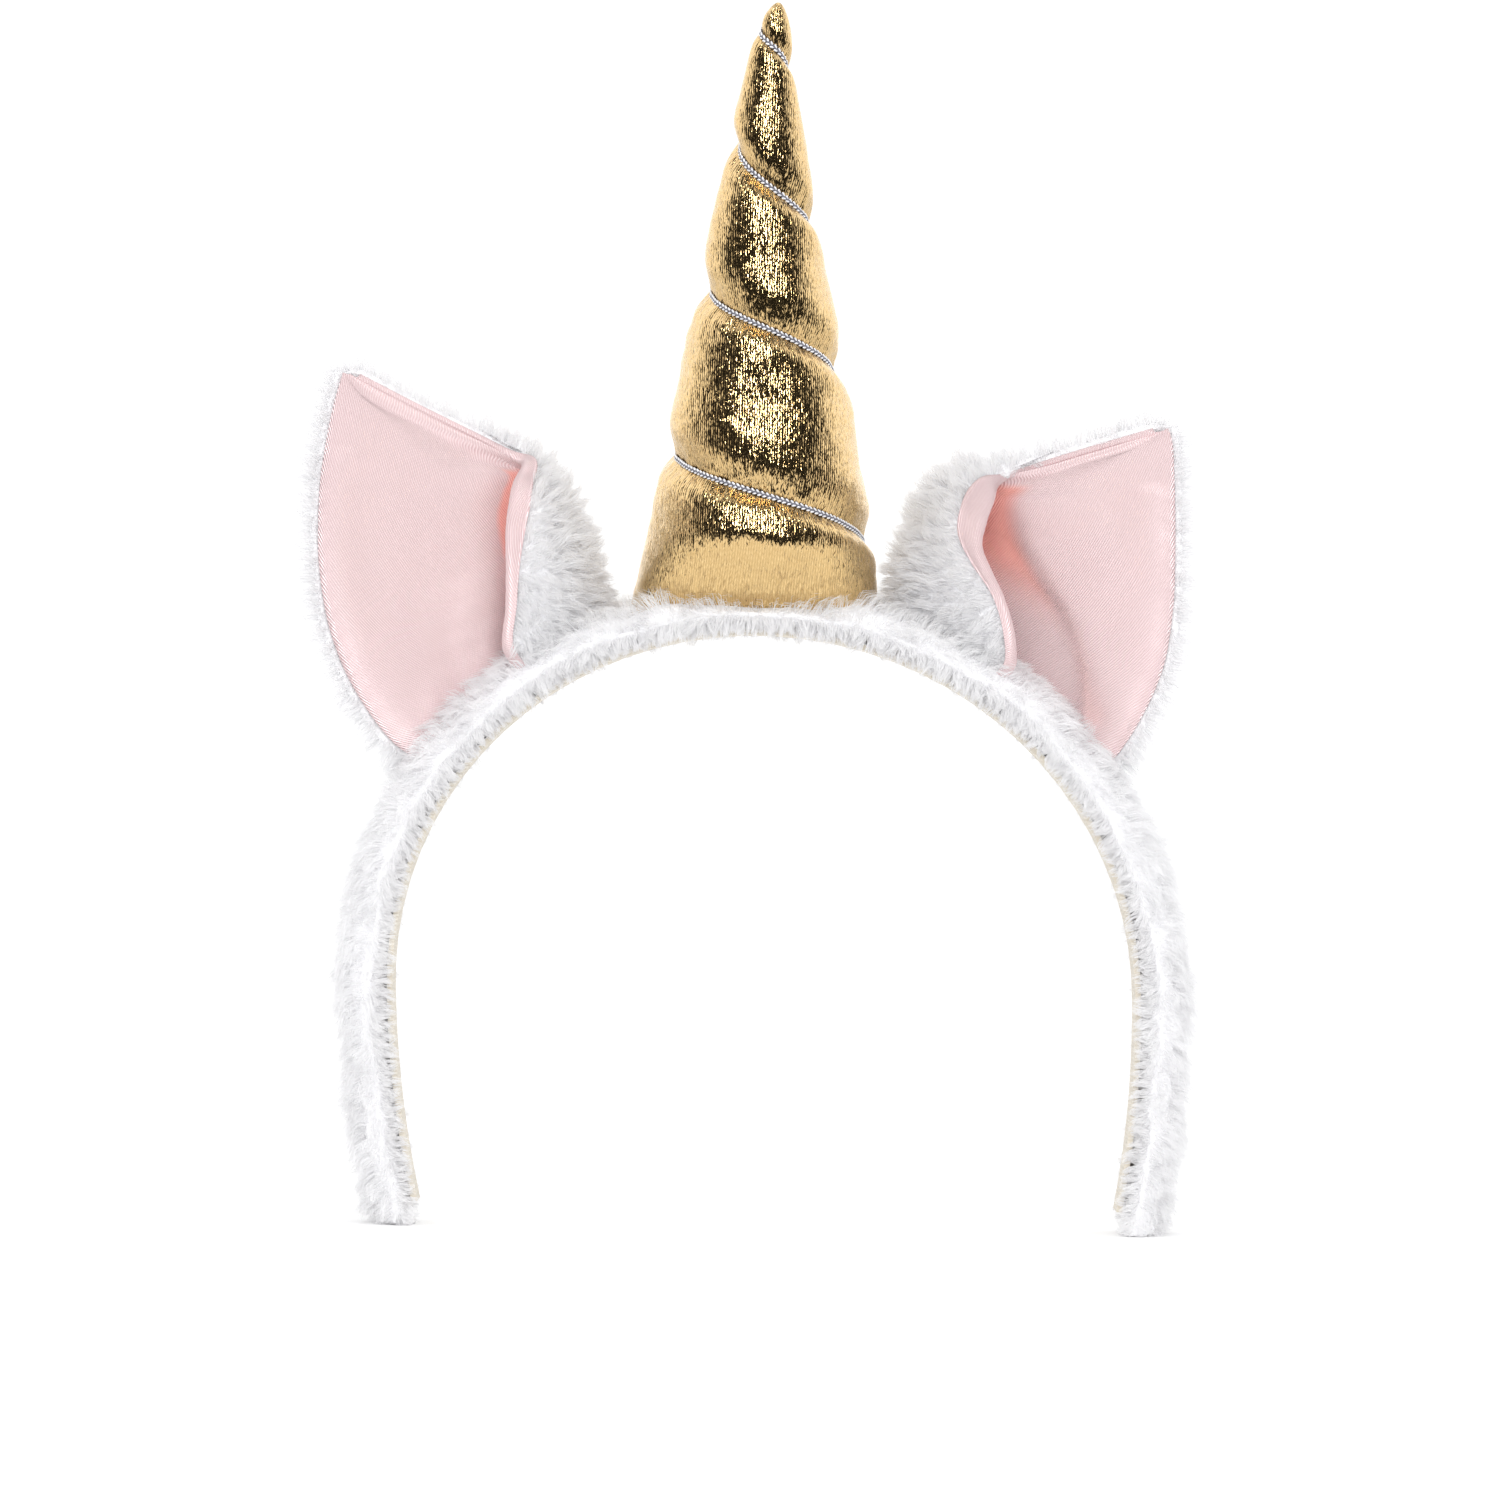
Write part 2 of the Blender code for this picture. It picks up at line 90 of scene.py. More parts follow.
def blended(tree, share, first, second):
    """A colour between two colours."""
    node = tree.nodes.new("ShaderNodeMix")
    node.data_type = "RGBA"
    for socket, value in ((node.inputs[0], share), (node.inputs[6], first), (node.inputs[7], second)):
        if isinstance(value, bpy.types.NodeSocket):
            tree.links.new(value, socket)
        elif isinstance(value, tuple):
            socket.default_value = (*value, 1.0)
        else:
            socket.default_value = value
    return node.outputs[2]


def noise_on(tree, scale, detail=2.0, roughness=0.5):
    """Noise on Object coordinates, so many to the metre."""
    place = tree.nodes.new("ShaderNodeTexCoord")
    node = tree.nodes.new("ShaderNodeTexNoise")
    node.inputs["Scale"].default_value = scale
    node.inputs["Detail"].default_value = detail
    node.inputs["Roughness"].default_value = roughness
    tree.links.new(place.outputs["Object"], node.inputs["Vector"])
    return node.outputs[0]


def bump_from(tree, shader, height, distance, strength=1.0):
    bump = tree.nodes.new("ShaderNodeBump")
    bump.inputs["Strength"].default_value = strength
    bump.inputs["Distance"].default_value = distance
    tree.links.new(height, bump.inputs["Height"])
    tree.links.new(bump.outputs[0], shader.inputs["Normal"])
    return bump


plush_white, tree, shader = shader_of("plush_pile")
pile_colour = blended(tree, noise_on(tree, 90, 3.0), (0.895, 0.89, 0.90), (0.95, 0.95, 0.955))
tree.links.new(pile_colour, shader.inputs["Base Color"])
shader.inputs["Roughness"].default_value = 0.7
shader.inputs["Specular IOR Level"].default_value = 0.3
light_through = tree.nodes.new("ShaderNodeBsdfTranslucent")
tree.links.new(pile_colour, light_through.inputs["Color"])
both = tree.nodes.new("ShaderNodeMixShader")
both.inputs[0].default_value = 0.5
tree.links.new(shader.outputs[0], both.inputs[1])
tree.links.new(light_through.outputs[0], both.inputs[2])
tree.links.new(both.outputs[0], tree.nodes["Material Output"].inputs["Surface"])

plush_backing, tree, shader = shader_of("plush_backing")
backing_colour = blended(tree, noise_on(tree, 400, 3.0), (0.90, 0.895, 0.92), (0.95, 0.95, 0.96))
tree.links.new(backing_colour, shader.inputs["Base Color"])
shader.inputs["Roughness"].default_value = 0.9
bump_from(tree, shader, noise_on(tree, 1400, 4.0), 0.0006)


def mesh_arrays(mesh):
    """The points, the normals and the triangles of a mesh, with the face that each triangle is part of."""
    points = np.empty(len(mesh.vertices) * 3)
    mesh.vertices.foreach_get("co", points)
    normals = np.empty(len(mesh.vertices) * 3)
    mesh.vertices.foreach_get("normal", normals)
    mesh.calc_loop_triangles()
    corners = np.empty(len(mesh.loop_triangles) * 3, int)
    mesh.loop_triangles.foreach_get("vertices", corners)
    faces = np.empty(len(mesh.loop_triangles), int)
    mesh.loop_triangles.foreach_get("polygon_index", faces)
    return points.reshape(-1, 3), normals.reshape(-1, 3), corners.reshape(-1, 3), faces


def smoothstep(value):
    value = np.clip(value, 0, 1)
    return value * value * (3 - 2 * value)


def risen(value, start, over):
    """A smooth rise from 0 to 1 that begins at start and takes so much."""
    return smoothstep((value - start) / over)


def unit(vectors):
    return vectors / np.maximum(np.linalg.norm(vectors, axis=-1, keepdims=True), 1e-12)


def strand_mesh(name, lines, sides, widths):
    """One mesh of flat tapered strands. lines has each strand's points, the last of them its tip."""
    count, steps = lines.shape[:2]
    left = lines[:, :-1] + sides[:, None] * widths[None, :-1, None]
    right = lines[:, :-1] - sides[:, None] * widths[None, :-1, None]
    points = np.concatenate([np.stack([left, right], 2).reshape(count, -1, 3), lines[:, -1:]], 1)
    each = points.shape[1]
    first = np.arange(count)[:, None] * each
    quads = [[2 * step, 2 * step + 1, 2 * step + 3, 2 * step + 2] for step in range(steps - 2)]
    corners = np.array(sum(quads, []) + [each - 3, each - 2, each - 1])
    totals = np.tile([4] * len(quads) + [3], count)
    mesh = bpy.data.meshes.new(name)
    mesh.vertices.add(count * each)
    mesh.vertices.foreach_set("co", points.astype(np.float32).ravel())
    mesh.loops.add(count * len(corners))
    mesh.loops.foreach_set("vertex_index", (first + corners).astype(np.int32).ravel())
    mesh.polygons.add(len(totals))
    mesh.polygons.foreach_set("loop_start", np.concatenate([[0], np.cumsum(totals)[:-1]]).astype(np.int32))
    mesh.update(calc_edges=True)
    mesh.shade_smooth()
    return mesh


def grow_pile(
    name, skin, lean_at, high, per_mm2, seed, keep, bare=(), parts=(("", -1.0),), crowd=None, shorter=None
):
    """Plush pile on the faces of a skin that have its second material slot, in parts from low X up."""
    rng = np.random.default_rng(seed)
    points, normals, triangles, faces = mesh_arrays(skin.data)
    slots = np.empty(len(skin.data.polygons), int)
    skin.data.polygons.foreach_get("material_index", slots)
    triangles = triangles[slots[faces] == 1]
    a, b, c = (points[triangles[:, corner]] for corner in range(3))
    areas = np.linalg.norm(np.cross(b - a, c - a), axis=1) / 2
    middles, facing = (a + b + c) / 3, unit(np.cross(b - a, c - a))
    share = areas * crowd(middles, facing) if crowd else areas
    count = int(share.sum() * 1e6 * per_mm2)
    chosen = rng.choice(len(share), count, p=share / share.sum())
    shares = rng.random((count, 2))
    shares = np.where(shares.sum(1, keepdims=True) > 1, 1 - shares, shares)
    shares = np.concatenate([1 - shares.sum(1, keepdims=True), shares], 1)[:, :, None]
    roots = (points[triangles[chosen]] * shares).sum(1)
    ups = unit((normals[triangles[chosen]] * shares).sum(1))
    kept = keep(roots, ups)
    for surface, reach in bare:
        for index in np.nonzero(kept)[0]:
            if surface.ray_cast(Vector(roots[index]), Vector(ups[index]), reach)[0]:
                kept[index] = False
    roots, ups = roots[kept], ups[kept]
    count = len(roots)
    tufts = rng.choice(count, max(1, count // PILE_IN_A_TUFT), replace=False)
    finder = KDTree(len(tufts))
    for index, root in enumerate(roots[tufts]):
        finder.insert(root, index)
    finder.balance()
    tuft = np.array([finder.find(root)[1] for root in roots])
    lean = lean_at(roots, ups)
    sway = rng.normal(0, 0.75, (len(tufts), 3))[tuft] + rng.normal(0, 0.3, (count, 3))
    sway -= ups * (sway * ups).sum(1, keepdims=True)
    tall = high * MM * (rng.uniform(0.75, 1.2, len(tufts))[tuft] * rng.uniform(0.8, 1.15, count))[:, None]
    tall *= 0.5 + 0.5 * smoothstep(roots[:, 2:] / 0.006)
    if shorter:
        tall *= shorter(roots, ups)[:, None]
    tips = roots + (ups * 0.80 + lean * 0.55 + sway * 0.42) * tall
    centre_tips = np.zeros((len(tufts), 3))
    np.add.at(centre_tips, tuft, tips)
    centre_tips /= np.maximum(np.bincount(tuft, minlength=len(tufts)), 1)[:, None]
    tips += (centre_tips[tuft] - tips) * rng.uniform(0.15, 0.62, count)[:, None]
    bends = roots + ups * tall * 0.62 + rng.normal(0, 0.12, (count, 3)) * tall
    along = np.array([0.0, 0.55, 1.0])[None, :, None]
    starts = (roots - ups * PILE_ROOT_SINKS * MM)[:, None]
    lines = starts * (1 - along) ** 2 + bends[:, None] * 2 * along * (1 - along) + tips[:, None] * along**2
    lines[:, :, 2] = np.maximum(lines[:, :, 2], LOWEST * MM)
    sides = unit(np.cross(tips - roots, ups + rng.normal(0, 0.7, (count, 3))))
    widths = PILE_WIDE / 2 * MM * np.array([1.0, 0.8, 0.0])
    piles = []
    for part, end in zip(parts, list(parts[1:]) + [None]):
        mine = roots[:, 0] >= part[1]
        if end is not None:
            mine &= roots[:, 0] < end[1]
        pile = bpy.data.objects.new(name + part[0], strand_mesh(name, lines[mine], sides[mine], widths))
        bpy.context.scene.collection.objects.link(pile)
        pile.data.materials.append(plush_white)
        piles.append(pile)
    return piles


def alone(piece):
    """Makes a piece the active one, and the only one selected."""
    bpy.ops.object.select_all(action="DESELECT")
    piece.select_set(True)
    bpy.context.view_layer.objects.active = piece


def turned_outwards(piece):
    alone(piece)
    bpy.ops.object.mode_set(mode="EDIT")
    bpy.ops.mesh.select_all(action="SELECT")
    bpy.ops.mesh.normals_make_consistent(inside=False)
    bpy.ops.object.mode_set(mode="OBJECT")


def merged_copy(node, name):
    """A copy of a CAD node with its loose triangles joined, alone in the selection."""
    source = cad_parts[node]
    piece = source.copy()
    piece.data = source.data.copy()
    piece.name = name
    for key in list(piece.keys()):
        del piece[key]
    bpy.context.scene.collection.objects.link(piece)
    alone(piece)
    bpy.ops.object.mode_set(mode="EDIT")
    bpy.ops.mesh.select_all(action="SELECT")
    bpy.ops.mesh.remove_doubles(threshold=0.00001)
    bpy.ops.mesh.normals_make_consistent(inside=False)
    bpy.ops.object.mode_set(mode="OBJECT")
    return piece


def moved_points(piece, points):
    piece.data.vertices.foreach_set("co", np.ascontiguousarray(points, np.float32).ravel())
    piece.data.update()


def subdivided(piece, levels):
    bpy.context.view_layer.objects.active = piece
    rounding = piece.modifiers.new("rounding", "SUBSURF")
    rounding.levels = rounding.render_levels = levels
    bpy.ops.object.modifier_apply(modifier=rounding.name)


def waves(points, step, seed):
    """Smooth unevenness from -1 to 1, with bumps about one step across."""
    rng = np.random.default_rng(seed)
    total = np.zeros(points.shape[:-1])
    for _ in range(9):
        direction = unit(rng.normal(size=3)) * 2 * math.pi / step * rng.uniform(0.6, 1.5)
        total += np.sin(points @ direction + rng.uniform(0, 2 * math.pi))
    return total / 4


def down_the_arms(roots):
    """Away from the arch's middle, and along the arch towards its ends."""
    side = np.where(roots[:, :1] < ARCH_MIDDLE_X * MM, -1.0, 1.0)
    out = np.zeros_like(roots)
    out[:, 0] = roots[:, 0] - ARCH_MIDDLE_X * MM
    out[:, 2] = np.maximum(roots[:, 2] - ARCH_MIDDLE_Z * MM, 0)
    out = unit(out)
    return out, side * np.stack([out[:, 2], np.zeros(len(out)), -out[:, 0]], 1)


band_backing = merged_copy("band_plush", "band_plush_backing")
points, normals, _, _ = mesh_arrays(band_backing.data)
out, _ = down_the_arms(points)
inner_side = np.clip(-(normals * out).sum(1) * 3.0, 0, 1)
points -= normals * (PILE_SINKS * (1 - 0.97 * inner_side))[:, None] * MM
points[:, 2] -= 0.0016 * np.clip(1 - points[:, 2] / 0.008, 0, 1)
moved_points(band_backing, points)
subdivided(band_backing, 2)
points, normals, _, _ = mesh_arrays(band_backing.data)
out, _ = down_the_arms(points)
flat_under_tape = 1 - np.clip(-(normals * out).sum(1) * 3.0, 0, 1)
points += normals * (waves(points, 0.011, 4) * flat_under_tape * BAND_LUMPS * MM)[:, None]
points[:, 2] = np.maximum(points[:, 2], LOWEST * MM)
moved_points(band_backing, points)
band_backing.data.shade_smooth()
band_backing.data.materials.clear()
for material in (plush_backing, plush_backing):
    band_backing.data.materials.append(material)
for face in band_backing.data.polygons:
    face.material_index = 1


def band_lean(roots, ups):
    out, down = down_the_arms(roots)
    facing = np.abs(ups[:, 1:2])
    inner = np.clip(-(ups * out).sum(1, keepdims=True) * 2 - 0.2, 0, 1)
    down = down * (0.3 + 0.7 * smoothstep(roots[:, 2:] / 0.012))
    outward = out * np.where(np.abs(roots[:, 1:2]) < 0.004, 0.3, 0.0)
    return unit(down * 0.7 * (1 - 0.6 * inner) + outward - out * (0.35 * facing + 0.9 * inner))


def crowded_by_the_tape(roots, ups):
    """Thicker pile where the front and back meet the inner face, to hide the tape's edge."""
    out, _ = down_the_arms(roots)
    inwards = -(ups * out).sum(1)
    return np.where((inwards > 0.05) & (np.abs(ups[:, 1]) > 0.12), 3.0, 1.0)


def shorter_inside(roots, ups):
    out, _ = down_the_arms(roots)
    return 1 - 0.5 * np.clip(-(ups * out).sum(1) * 2 - 0.1, 0, 1)


def clear_of_the_tape(roots, ups):
    out, _ = down_the_arms(roots)
    inner = (ups * out).sum(1) < -0.75
    depth = 0.0075 + 0.003 * np.clip(roots[:, 2] / 0.118, 0, 1)
    return ~((inner & (np.abs(roots[:, 1]) < depth)) | ((ups[:, 2] < -0.85) & (roots[:, 2] < 0.004)))


# Horn: a cone of gold metallic knit with its seam at the back, stuffed hard, and drawn in by the cord
# into plump turns. The knit's ribs run up the front. Its foot is sewn down on the band's pile.

HORN_TIP_Z = 245.2
HORN_BASE_Z = 124.2
HORN_BASE_SAG = 4.6
HORN_TIP_RADIUS = 2.4
HORN_SLOPE = 0.19
HORN_AXIS_X = 1.1
HORN_BASE_LEAN = -1.2
HORN_TIP_LEAN = 1.9
HORN_BASE_DEPTH = 13.8
HORN_ROUND_Z = 139.0
HORN_TIP_ROUND = 7.0
GROOVE_DEPTH = 2.3
GROOVE_ABOVE = 4.2
GROOVE_BELOW = 2.6
CORD_HEIGHTS = np.array([243.0, 239.4, 231.8, 216.6, 200.6, 187.4, 171.4, 154.8, 137.8, 121.5])
CORD_START_TURN = 0.12
CORD_END_TURN = 4.27
PUCKERS = ((17, 1.3, 1.0), (29, 0.4, 0.7), (43, 2.1, 0.5))
HORN_RINGS = 400
HORN_SIDES = 168
RIB_WIDE = 1.06
COURSE_HIGH = 1.12
LEG_RISE = 0.8
STRAND_WIDE = 0.22
STRAND_LONG = 0.9
STRAND_SLANT = 0.35
GLINT_TILT = 0.95
FACET_TILT = 0.26


def through(points, at):
    """Places on the smooth curve through a row of points; at counts the points from 0."""
    padded_row = np.concatenate([[2 * points[0] - points[1]], points, [2 * points[-1] - points[-2]]])
    index = np.clip(np.floor(at).astype(int), 0, len(points) - 2)
    share = (at - index).reshape(at.shape + (1,) * (points.ndim - 1))
    before, first, second, after = (padded_row[index + step] for step in range(4))
    return 0.5 * (
        2 * first
        + (second - before) * share
        + (2 * before - 5 * first + 4 * second - after) * share**2
        + (3 * first - before - 3 * second + after) * share**3
    )


def horn_points(height, angle):
    """The knit's surface at a height and an angle counted from +X over the back, in millimetres."""
    drop = HORN_TIP_Z - height
    radius = HORN_TIP_RADIUS + HORN_SLOPE * drop
    near_tip = np.sqrt(np.clip(1 - (1 - drop / HORN_TIP_ROUND) ** 2, 0.02, 1))
    radius = radius * np.where(drop < HORN_TIP_ROUND, near_tip, 1.0)
    flat = 1 - smoothstep((height - HORN_BASE_Z) / (HORN_ROUND_Z - HORN_BASE_Z))
    deep = radius + (HORN_BASE_DEPTH - radius) * flat
    lean = HORN_AXIS_X + HORN_TIP_LEAN * np.exp(-drop / 10) + HORN_BASE_LEAN * flat
    level = height - HORN_BASE_SAG * flat * np.cos(angle) ** 2
    drawn, pucker = np.zeros_like(radius), np.zeros_like(radius)
    for turn in range(5):
        at = turn + angle / (2 * math.pi) % 1.0
        wound = (at >= CORD_START_TURN) & (at <= CORD_END_TURN)
        above = level - through(CORD_HEIGHTS, 2 * at)
        width = np.where(above > 0, GROOVE_ABOVE, GROOVE_BELOW) * np.minimum(1.0, 0.35 + radius / 14)
        pull = np.exp(-((above / width) ** 2)) + 0.22 * np.exp(-((above / 0.8) ** 2))
        drawn = np.maximum(drawn, np.where(wound, np.minimum(GROOVE_DEPTH, 0.32 * radius) * pull, 0))
        along = 2 * math.pi * at
        ripple = sum(size * np.sin(times * along + phase) for times, phase, size in PUCKERS)
        pucker += np.where(wound, ripple * np.exp(-np.abs(above) / 2.6), 0) * np.minimum(0.16, radius / 90)
    out = radius - drawn + pucker
    share = out / radius
    places = np.stack([lean + radius * share * np.cos(angle), deep * share * np.sin(angle), level], -1)
    uneven = waves(places, 17.0, 8) * 0.32 + waves(places, 7.0, 9) * 0.10
    fold_under = 1.3 * np.exp(-(((height - HORN_BASE_Z) / 1.6) ** 2))
    outward = np.stack([np.cos(angle), np.sin(angle), np.zeros_like(angle)], -1)
    return places + outward * (uneven * np.minimum(1, radius / 12) - fold_under)[..., None]


def grid_mesh(name, grid, across_closes=False, caps=False):
    """A mesh of quads over rows of points in millimetres, closed across and capped where asked."""
    rows, columns = grid.shape[:2]
    index = np.arange(rows * columns).reshape(rows, columns)
    after = np.roll(index, -1, axis=1) if across_closes else index[:, 1:]
    before = index if across_closes else index[:, :-1]
    quads = np.stack([before[:-1], after[:-1], after[1:], before[1:]], -1).reshape(-1, 4)
    faces = quads.tolist()
    if caps:
        faces += [index[0][::-1].tolist(), index[-1].tolist()]
    mesh = bpy.data.meshes.new(name)
    mesh.from_pydata((grid.reshape(-1, 3) * MM).tolist(), [], faces)
    mesh.shade_smooth()
    return mesh


def mapped(mesh, name, values):
    """A UV map from one pair of numbers for each corner of each face."""
    layer = mesh.uv_layers.new(name=name)
    layer.data.foreach_set("uv", np.ascontiguousarray(values, np.float32).ravel())


def linked_object(name, mesh):
    piece = bpy.data.objects.new(name, mesh)
    bpy.context.scene.collection.objects.link(piece)
    return piece


spaced = np.linspace(0, 1, HORN_RINGS)
heights = HORN_BASE_Z + (HORN_TIP_Z - 0.05 - HORN_BASE_Z) * (1 - (1 - spaced) ** 1.15)
angles = 2 * math.pi * np.arange(HORN_SIDES) / HORN_SIDES
height_grid, angle_grid = np.meshgrid(heights, angles, indexing="ij")
horn = linked_object("horn_knit", grid_mesh("horn_knit", horn_points(height_grid, angle_grid), True, True))
corner_points = np.empty(len(horn.data.loops), int)
horn.data.loops.foreach_get("vertex_index", corner_points)
ring, side = corner_points // HORN_SIDES, corner_points % HORN_SIDES
from_front = (side / HORN_SIDES + 0.25) % 1.0
seam_side = np.zeros(len(side), bool)
for face in horn.data.polygons:
    loops = slice(face.loop_start, face.loop_start + face.loop_total)
    if face.loop_total == 4 and from_front[loops].max() - from_front[loops].min() > 0.5:
        seam_side[loops] = from_front[loops] < 0.5
turned = (from_front + seam_side) * 2 * math.pi
turned = np.where(turned > math.pi, turned - 2 * math.pi, turned)
slant = (HORN_TIP_Z + 12.6 - heights[ring]) * math.sqrt(1 + HORN_SLOPE**2)
opened = turned * HORN_SLOPE / math.sqrt(1 + HORN_SLOPE**2)
mapped(horn.data, "knit", np.stack([slant * np.sin(opened), -slant * np.cos(opened)], -1))

gold_knit, tree, shader = shader_of("gold_knit")
flat_knit = tree.nodes.new("ShaderNodeUVMap")
flat_knit.uv_map = "knit"
parted = tree.nodes.new("ShaderNodeSeparateXYZ")
tree.links.new(flat_knit.outputs[0], parted.inputs[0])


def off_middle(tree, value):
    """How far a value is from the middle between two whole numbers, from 0 to 1."""
    from_half = reckon(tree, "SUBTRACT", reckon(tree, "FRACT", value), 0.5)
    return reckon(tree, "MULTIPLY", reckon(tree, "ABSOLUTE", from_half), 2.0)


rib = reckon(tree, "MULTIPLY", parted.outputs[0], 1 / RIB_WIDE)
from_rib = off_middle(tree, rib)
level_course = reckon(tree, "MULTIPLY", parted.outputs[1], 1 / COURSE_HIGH)
course = reckon(tree, "ADD", level_course, reckon(tree, "MULTIPLY", from_rib, LEG_RISE))
across_leg = reckon(tree, "SUBTRACT", reckon(tree, "MULTIPLY", from_rib, 2.0), 1.0)
leg_round = reckon(tree, "SUBTRACT", 1.0, reckon(tree, "POWER", across_leg, 2.0))
notch = reckon(tree, "MULTIPLY", reckon(tree, "POWER", off_middle(tree, course), 3.0), 0.3)
stitch = reckon(tree, "MULTIPLY", leg_round, reckon(tree, "SUBTRACT", 1.0, notch))
strand_place = tree.nodes.new("ShaderNodeCombineXYZ")
strand = reckon(tree, "MULTIPLY", from_rib, RIB_WIDE / 2 / STRAND_WIDE)
strand_slant = reckon(tree, "MULTIPLY", parted.outputs[1], STRAND_SLANT / STRAND_WIDE)
tree.links.new(reckon(tree, "ADD", strand, strand_slant), strand_place.inputs[0])
tree.links.new(reckon(tree, "MULTIPLY", parted.outputs[1], 1 / STRAND_LONG), strand_place.inputs[1])
tree.links.new(reckon(tree, "FLOOR", reckon(tree, "MULTIPLY", rib, 2.0)), strand_place.inputs[2])
glint = tree.nodes.new("ShaderNodeTexNoise")
glint.inputs["Scale"].default_value = 1.0
glint.inputs["Detail"].default_value = 1.5
tree.links.new(strand_place.outputs[0], glint.inputs["Vector"])
parted_glint = tree.nodes.new("ShaderNodeSeparateXYZ")
tree.links.new(glint.outputs["Color"], parted_glint.inputs[0])
# Painted shade: the gold's colour is darker towards the edges of each knit leg, as if the valleys between
# stitches lay in shade; the strand noise on top gives the gold a random tone.
painted_gap_shade = reckon(tree, "MULTIPLY_ADD", stitch, 0.6, 0.4)
tone_and_painted_gap_shade = reckon(tree, "MULTIPLY", parted_glint.outputs[0], painted_gap_shade)
tree.links.new(blended(tree, tone_and_painted_gap_shade, (0.52, 0.32, 0.12), (1.0, 0.77, 0.41)), shader.inputs["Base Color"])
shader.inputs["Metallic"].default_value = 1.0
knit_roughness = reckon(tree, "MULTIPLY_ADD", parted_glint.outputs[1], 0.22, 0.06)
tree.links.new(knit_roughness, shader.inputs["Roughness"])
leg_place = tree.nodes.new("ShaderNodeCombineXYZ")
tree.links.new(reckon(tree, "FLOOR", reckon(tree, "MULTIPLY", rib, 2.0)), leg_place.inputs[0])
tree.links.new(reckon(tree, "FLOOR", course), leg_place.inputs[1])
facet = tree.nodes.new("ShaderNodeTexWhiteNoise")
tree.links.new(leg_place.outputs[0], facet.inputs["Vector"])
tilted = bump_from(tree, shader, stitch, 0.00004)
for colour, size in ((glint.outputs["Color"], GLINT_TILT), (facet.outputs["Color"], FACET_TILT)):
    tilt = tree.nodes.new("ShaderNodeVectorMath")
    tilt.operation = "MULTIPLY_ADD"
    tree.links.new(colour, tilt.inputs[0])
    tilt.inputs[1].default_value = (size, size, size)
    tilt.inputs[2].default_value = (-size / 2, -size / 2, -size / 2)
    joined = tree.nodes.new("ShaderNodeVectorMath")
    joined.operation = "ADD"
    tree.links.new(tilted.outputs[0], joined.inputs[0])
    tree.links.new(tilt.outputs[0], joined.inputs[1])
    tilted = joined
evened = tree.nodes.new("ShaderNodeVectorMath")
evened.operation = "NORMALIZE"
tree.links.new(tilted.outputs[0], evened.inputs[0])
tree.links.new(evened.outputs[0], shader.inputs["Normal"])
horn.data.materials.append(gold_knit)
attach(horn, "root")
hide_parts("horn")

# Cord: a fine silver braid wound down the horn from its tip, sunk into the knit and tied off at the
# back of the foot. Two rows of short slanting loops over a core make its chain of Vs.

CORD_WIDE = 1.2
CORD_SINKS = 0.28
LOOP_PITCH = 1.02
LOOP_SIZE = (0.50, 0.24, 0.25)
LOOP_SLANT = math.radians(27)
LOOP_ASIDE = 0.31
LOOP_OUT = 0.15
CORE_RADIUS = CORD_WIDE / 2 - 0.24
CORE_SIDES = 8

bpy.context.view_layer.update()
horn_surface = BVHTree.FromObject(horn, bpy.context.evaluated_depsgraph_get())
turns = np.linspace(CORD_START_TURN, CORD_END_TURN, 2600)
cord_heights = through(CORD_HEIGHTS, 2 * turns)
outwards = np.stack([np.cos(2 * math.pi * turns), np.sin(2 * math.pi * turns), np.zeros(len(turns))], 1)
drops = HORN_TIP_Z - cord_heights
axis_x = HORN_AXIS_X + HORN_TIP_LEAN * np.exp(-drops / 10)
reaches = np.array([
    (horn_surface.ray_cast(Vector((x, 0, z)) * MM, Vector(outward))[3] or 0) / MM
    for x, z, outward in zip(axis_x, cord_heights, outwards)
])
reaches = np.convolve(np.pad(reaches, 12, mode="edge"), np.ones(25) / 25, mode="valid")
route = np.stack([axis_x, np.zeros(len(turns)), cord_heights], 1)
route += outwards * (reaches + CORD_WIDE / 2 - CORD_SINKS)[:, None]
run = np.concatenate([[0], np.cumsum(np.linalg.norm(np.diff(route, axis=0), axis=1))])
loop_count = int(run[-1] / LOOP_PITCH)


def along_cord(distances):
    """The place, direction, outward side and cross side of the cord, so far along it."""
    middle = np.stack([np.interp(distances, run, route[:, axis]) for axis in range(3)], 1)
    ahead = np.stack([np.interp(distances + 0.4, run, route[:, axis]) for axis in range(3)], 1)
    behind = np.stack([np.interp(distances - 0.4, run, route[:, axis]) for axis in range(3)], 1)
    forward = unit(ahead - behind)
    out = np.stack([np.interp(distances, run, outwards[:, axis]) for axis in range(3)], 1)
    out = unit(out - forward * (out * forward).sum(1, keepdims=True))
    return middle, forward, out, np.cross(forward, out)


bpy.ops.object.select_all(action="DESELECT")
bpy.ops.mesh.primitive_uv_sphere_add(segments=7, ring_count=5, radius=1)
loop_shape = bpy.context.object
loop_points, _, _, _ = mesh_arrays(loop_shape.data)
loop_points = loop_points[:, [2, 1, 0]] * [1, -1, 1]
loop_faces = [list(face.vertices) for face in loop_shape.data.polygons]
bpy.data.objects.remove(loop_shape)
rng = np.random.default_rng(21)
braid_points, braid_faces = [], []
first_free = 0
for row in (-1, 1):
    distances = (np.arange(loop_count) + 0.25 + 0.25 * row) * LOOP_PITCH + rng.normal(0, 0.02, loop_count)
    middle, forward, out, across = along_cord(distances)
    long_way = forward * math.cos(LOOP_SLANT) - across * row * math.sin(LOOP_SLANT)
    wide_way = np.cross(out, long_way)
    centres = middle + across * row * LOOP_ASIDE + out * LOOP_OUT
    sizes = np.array(LOOP_SIZE) * rng.uniform(0.93, 1.07, (loop_count, 3))
    for index in range(loop_count):
        local = loop_points * sizes[index]
        placed = centres[index] + local @ np.stack([long_way[index], wide_way[index], out[index]])
        braid_points.append(placed)
        braid_faces += [[first_free + corner for corner in face] for face in loop_faces]
        first_free += len(placed)
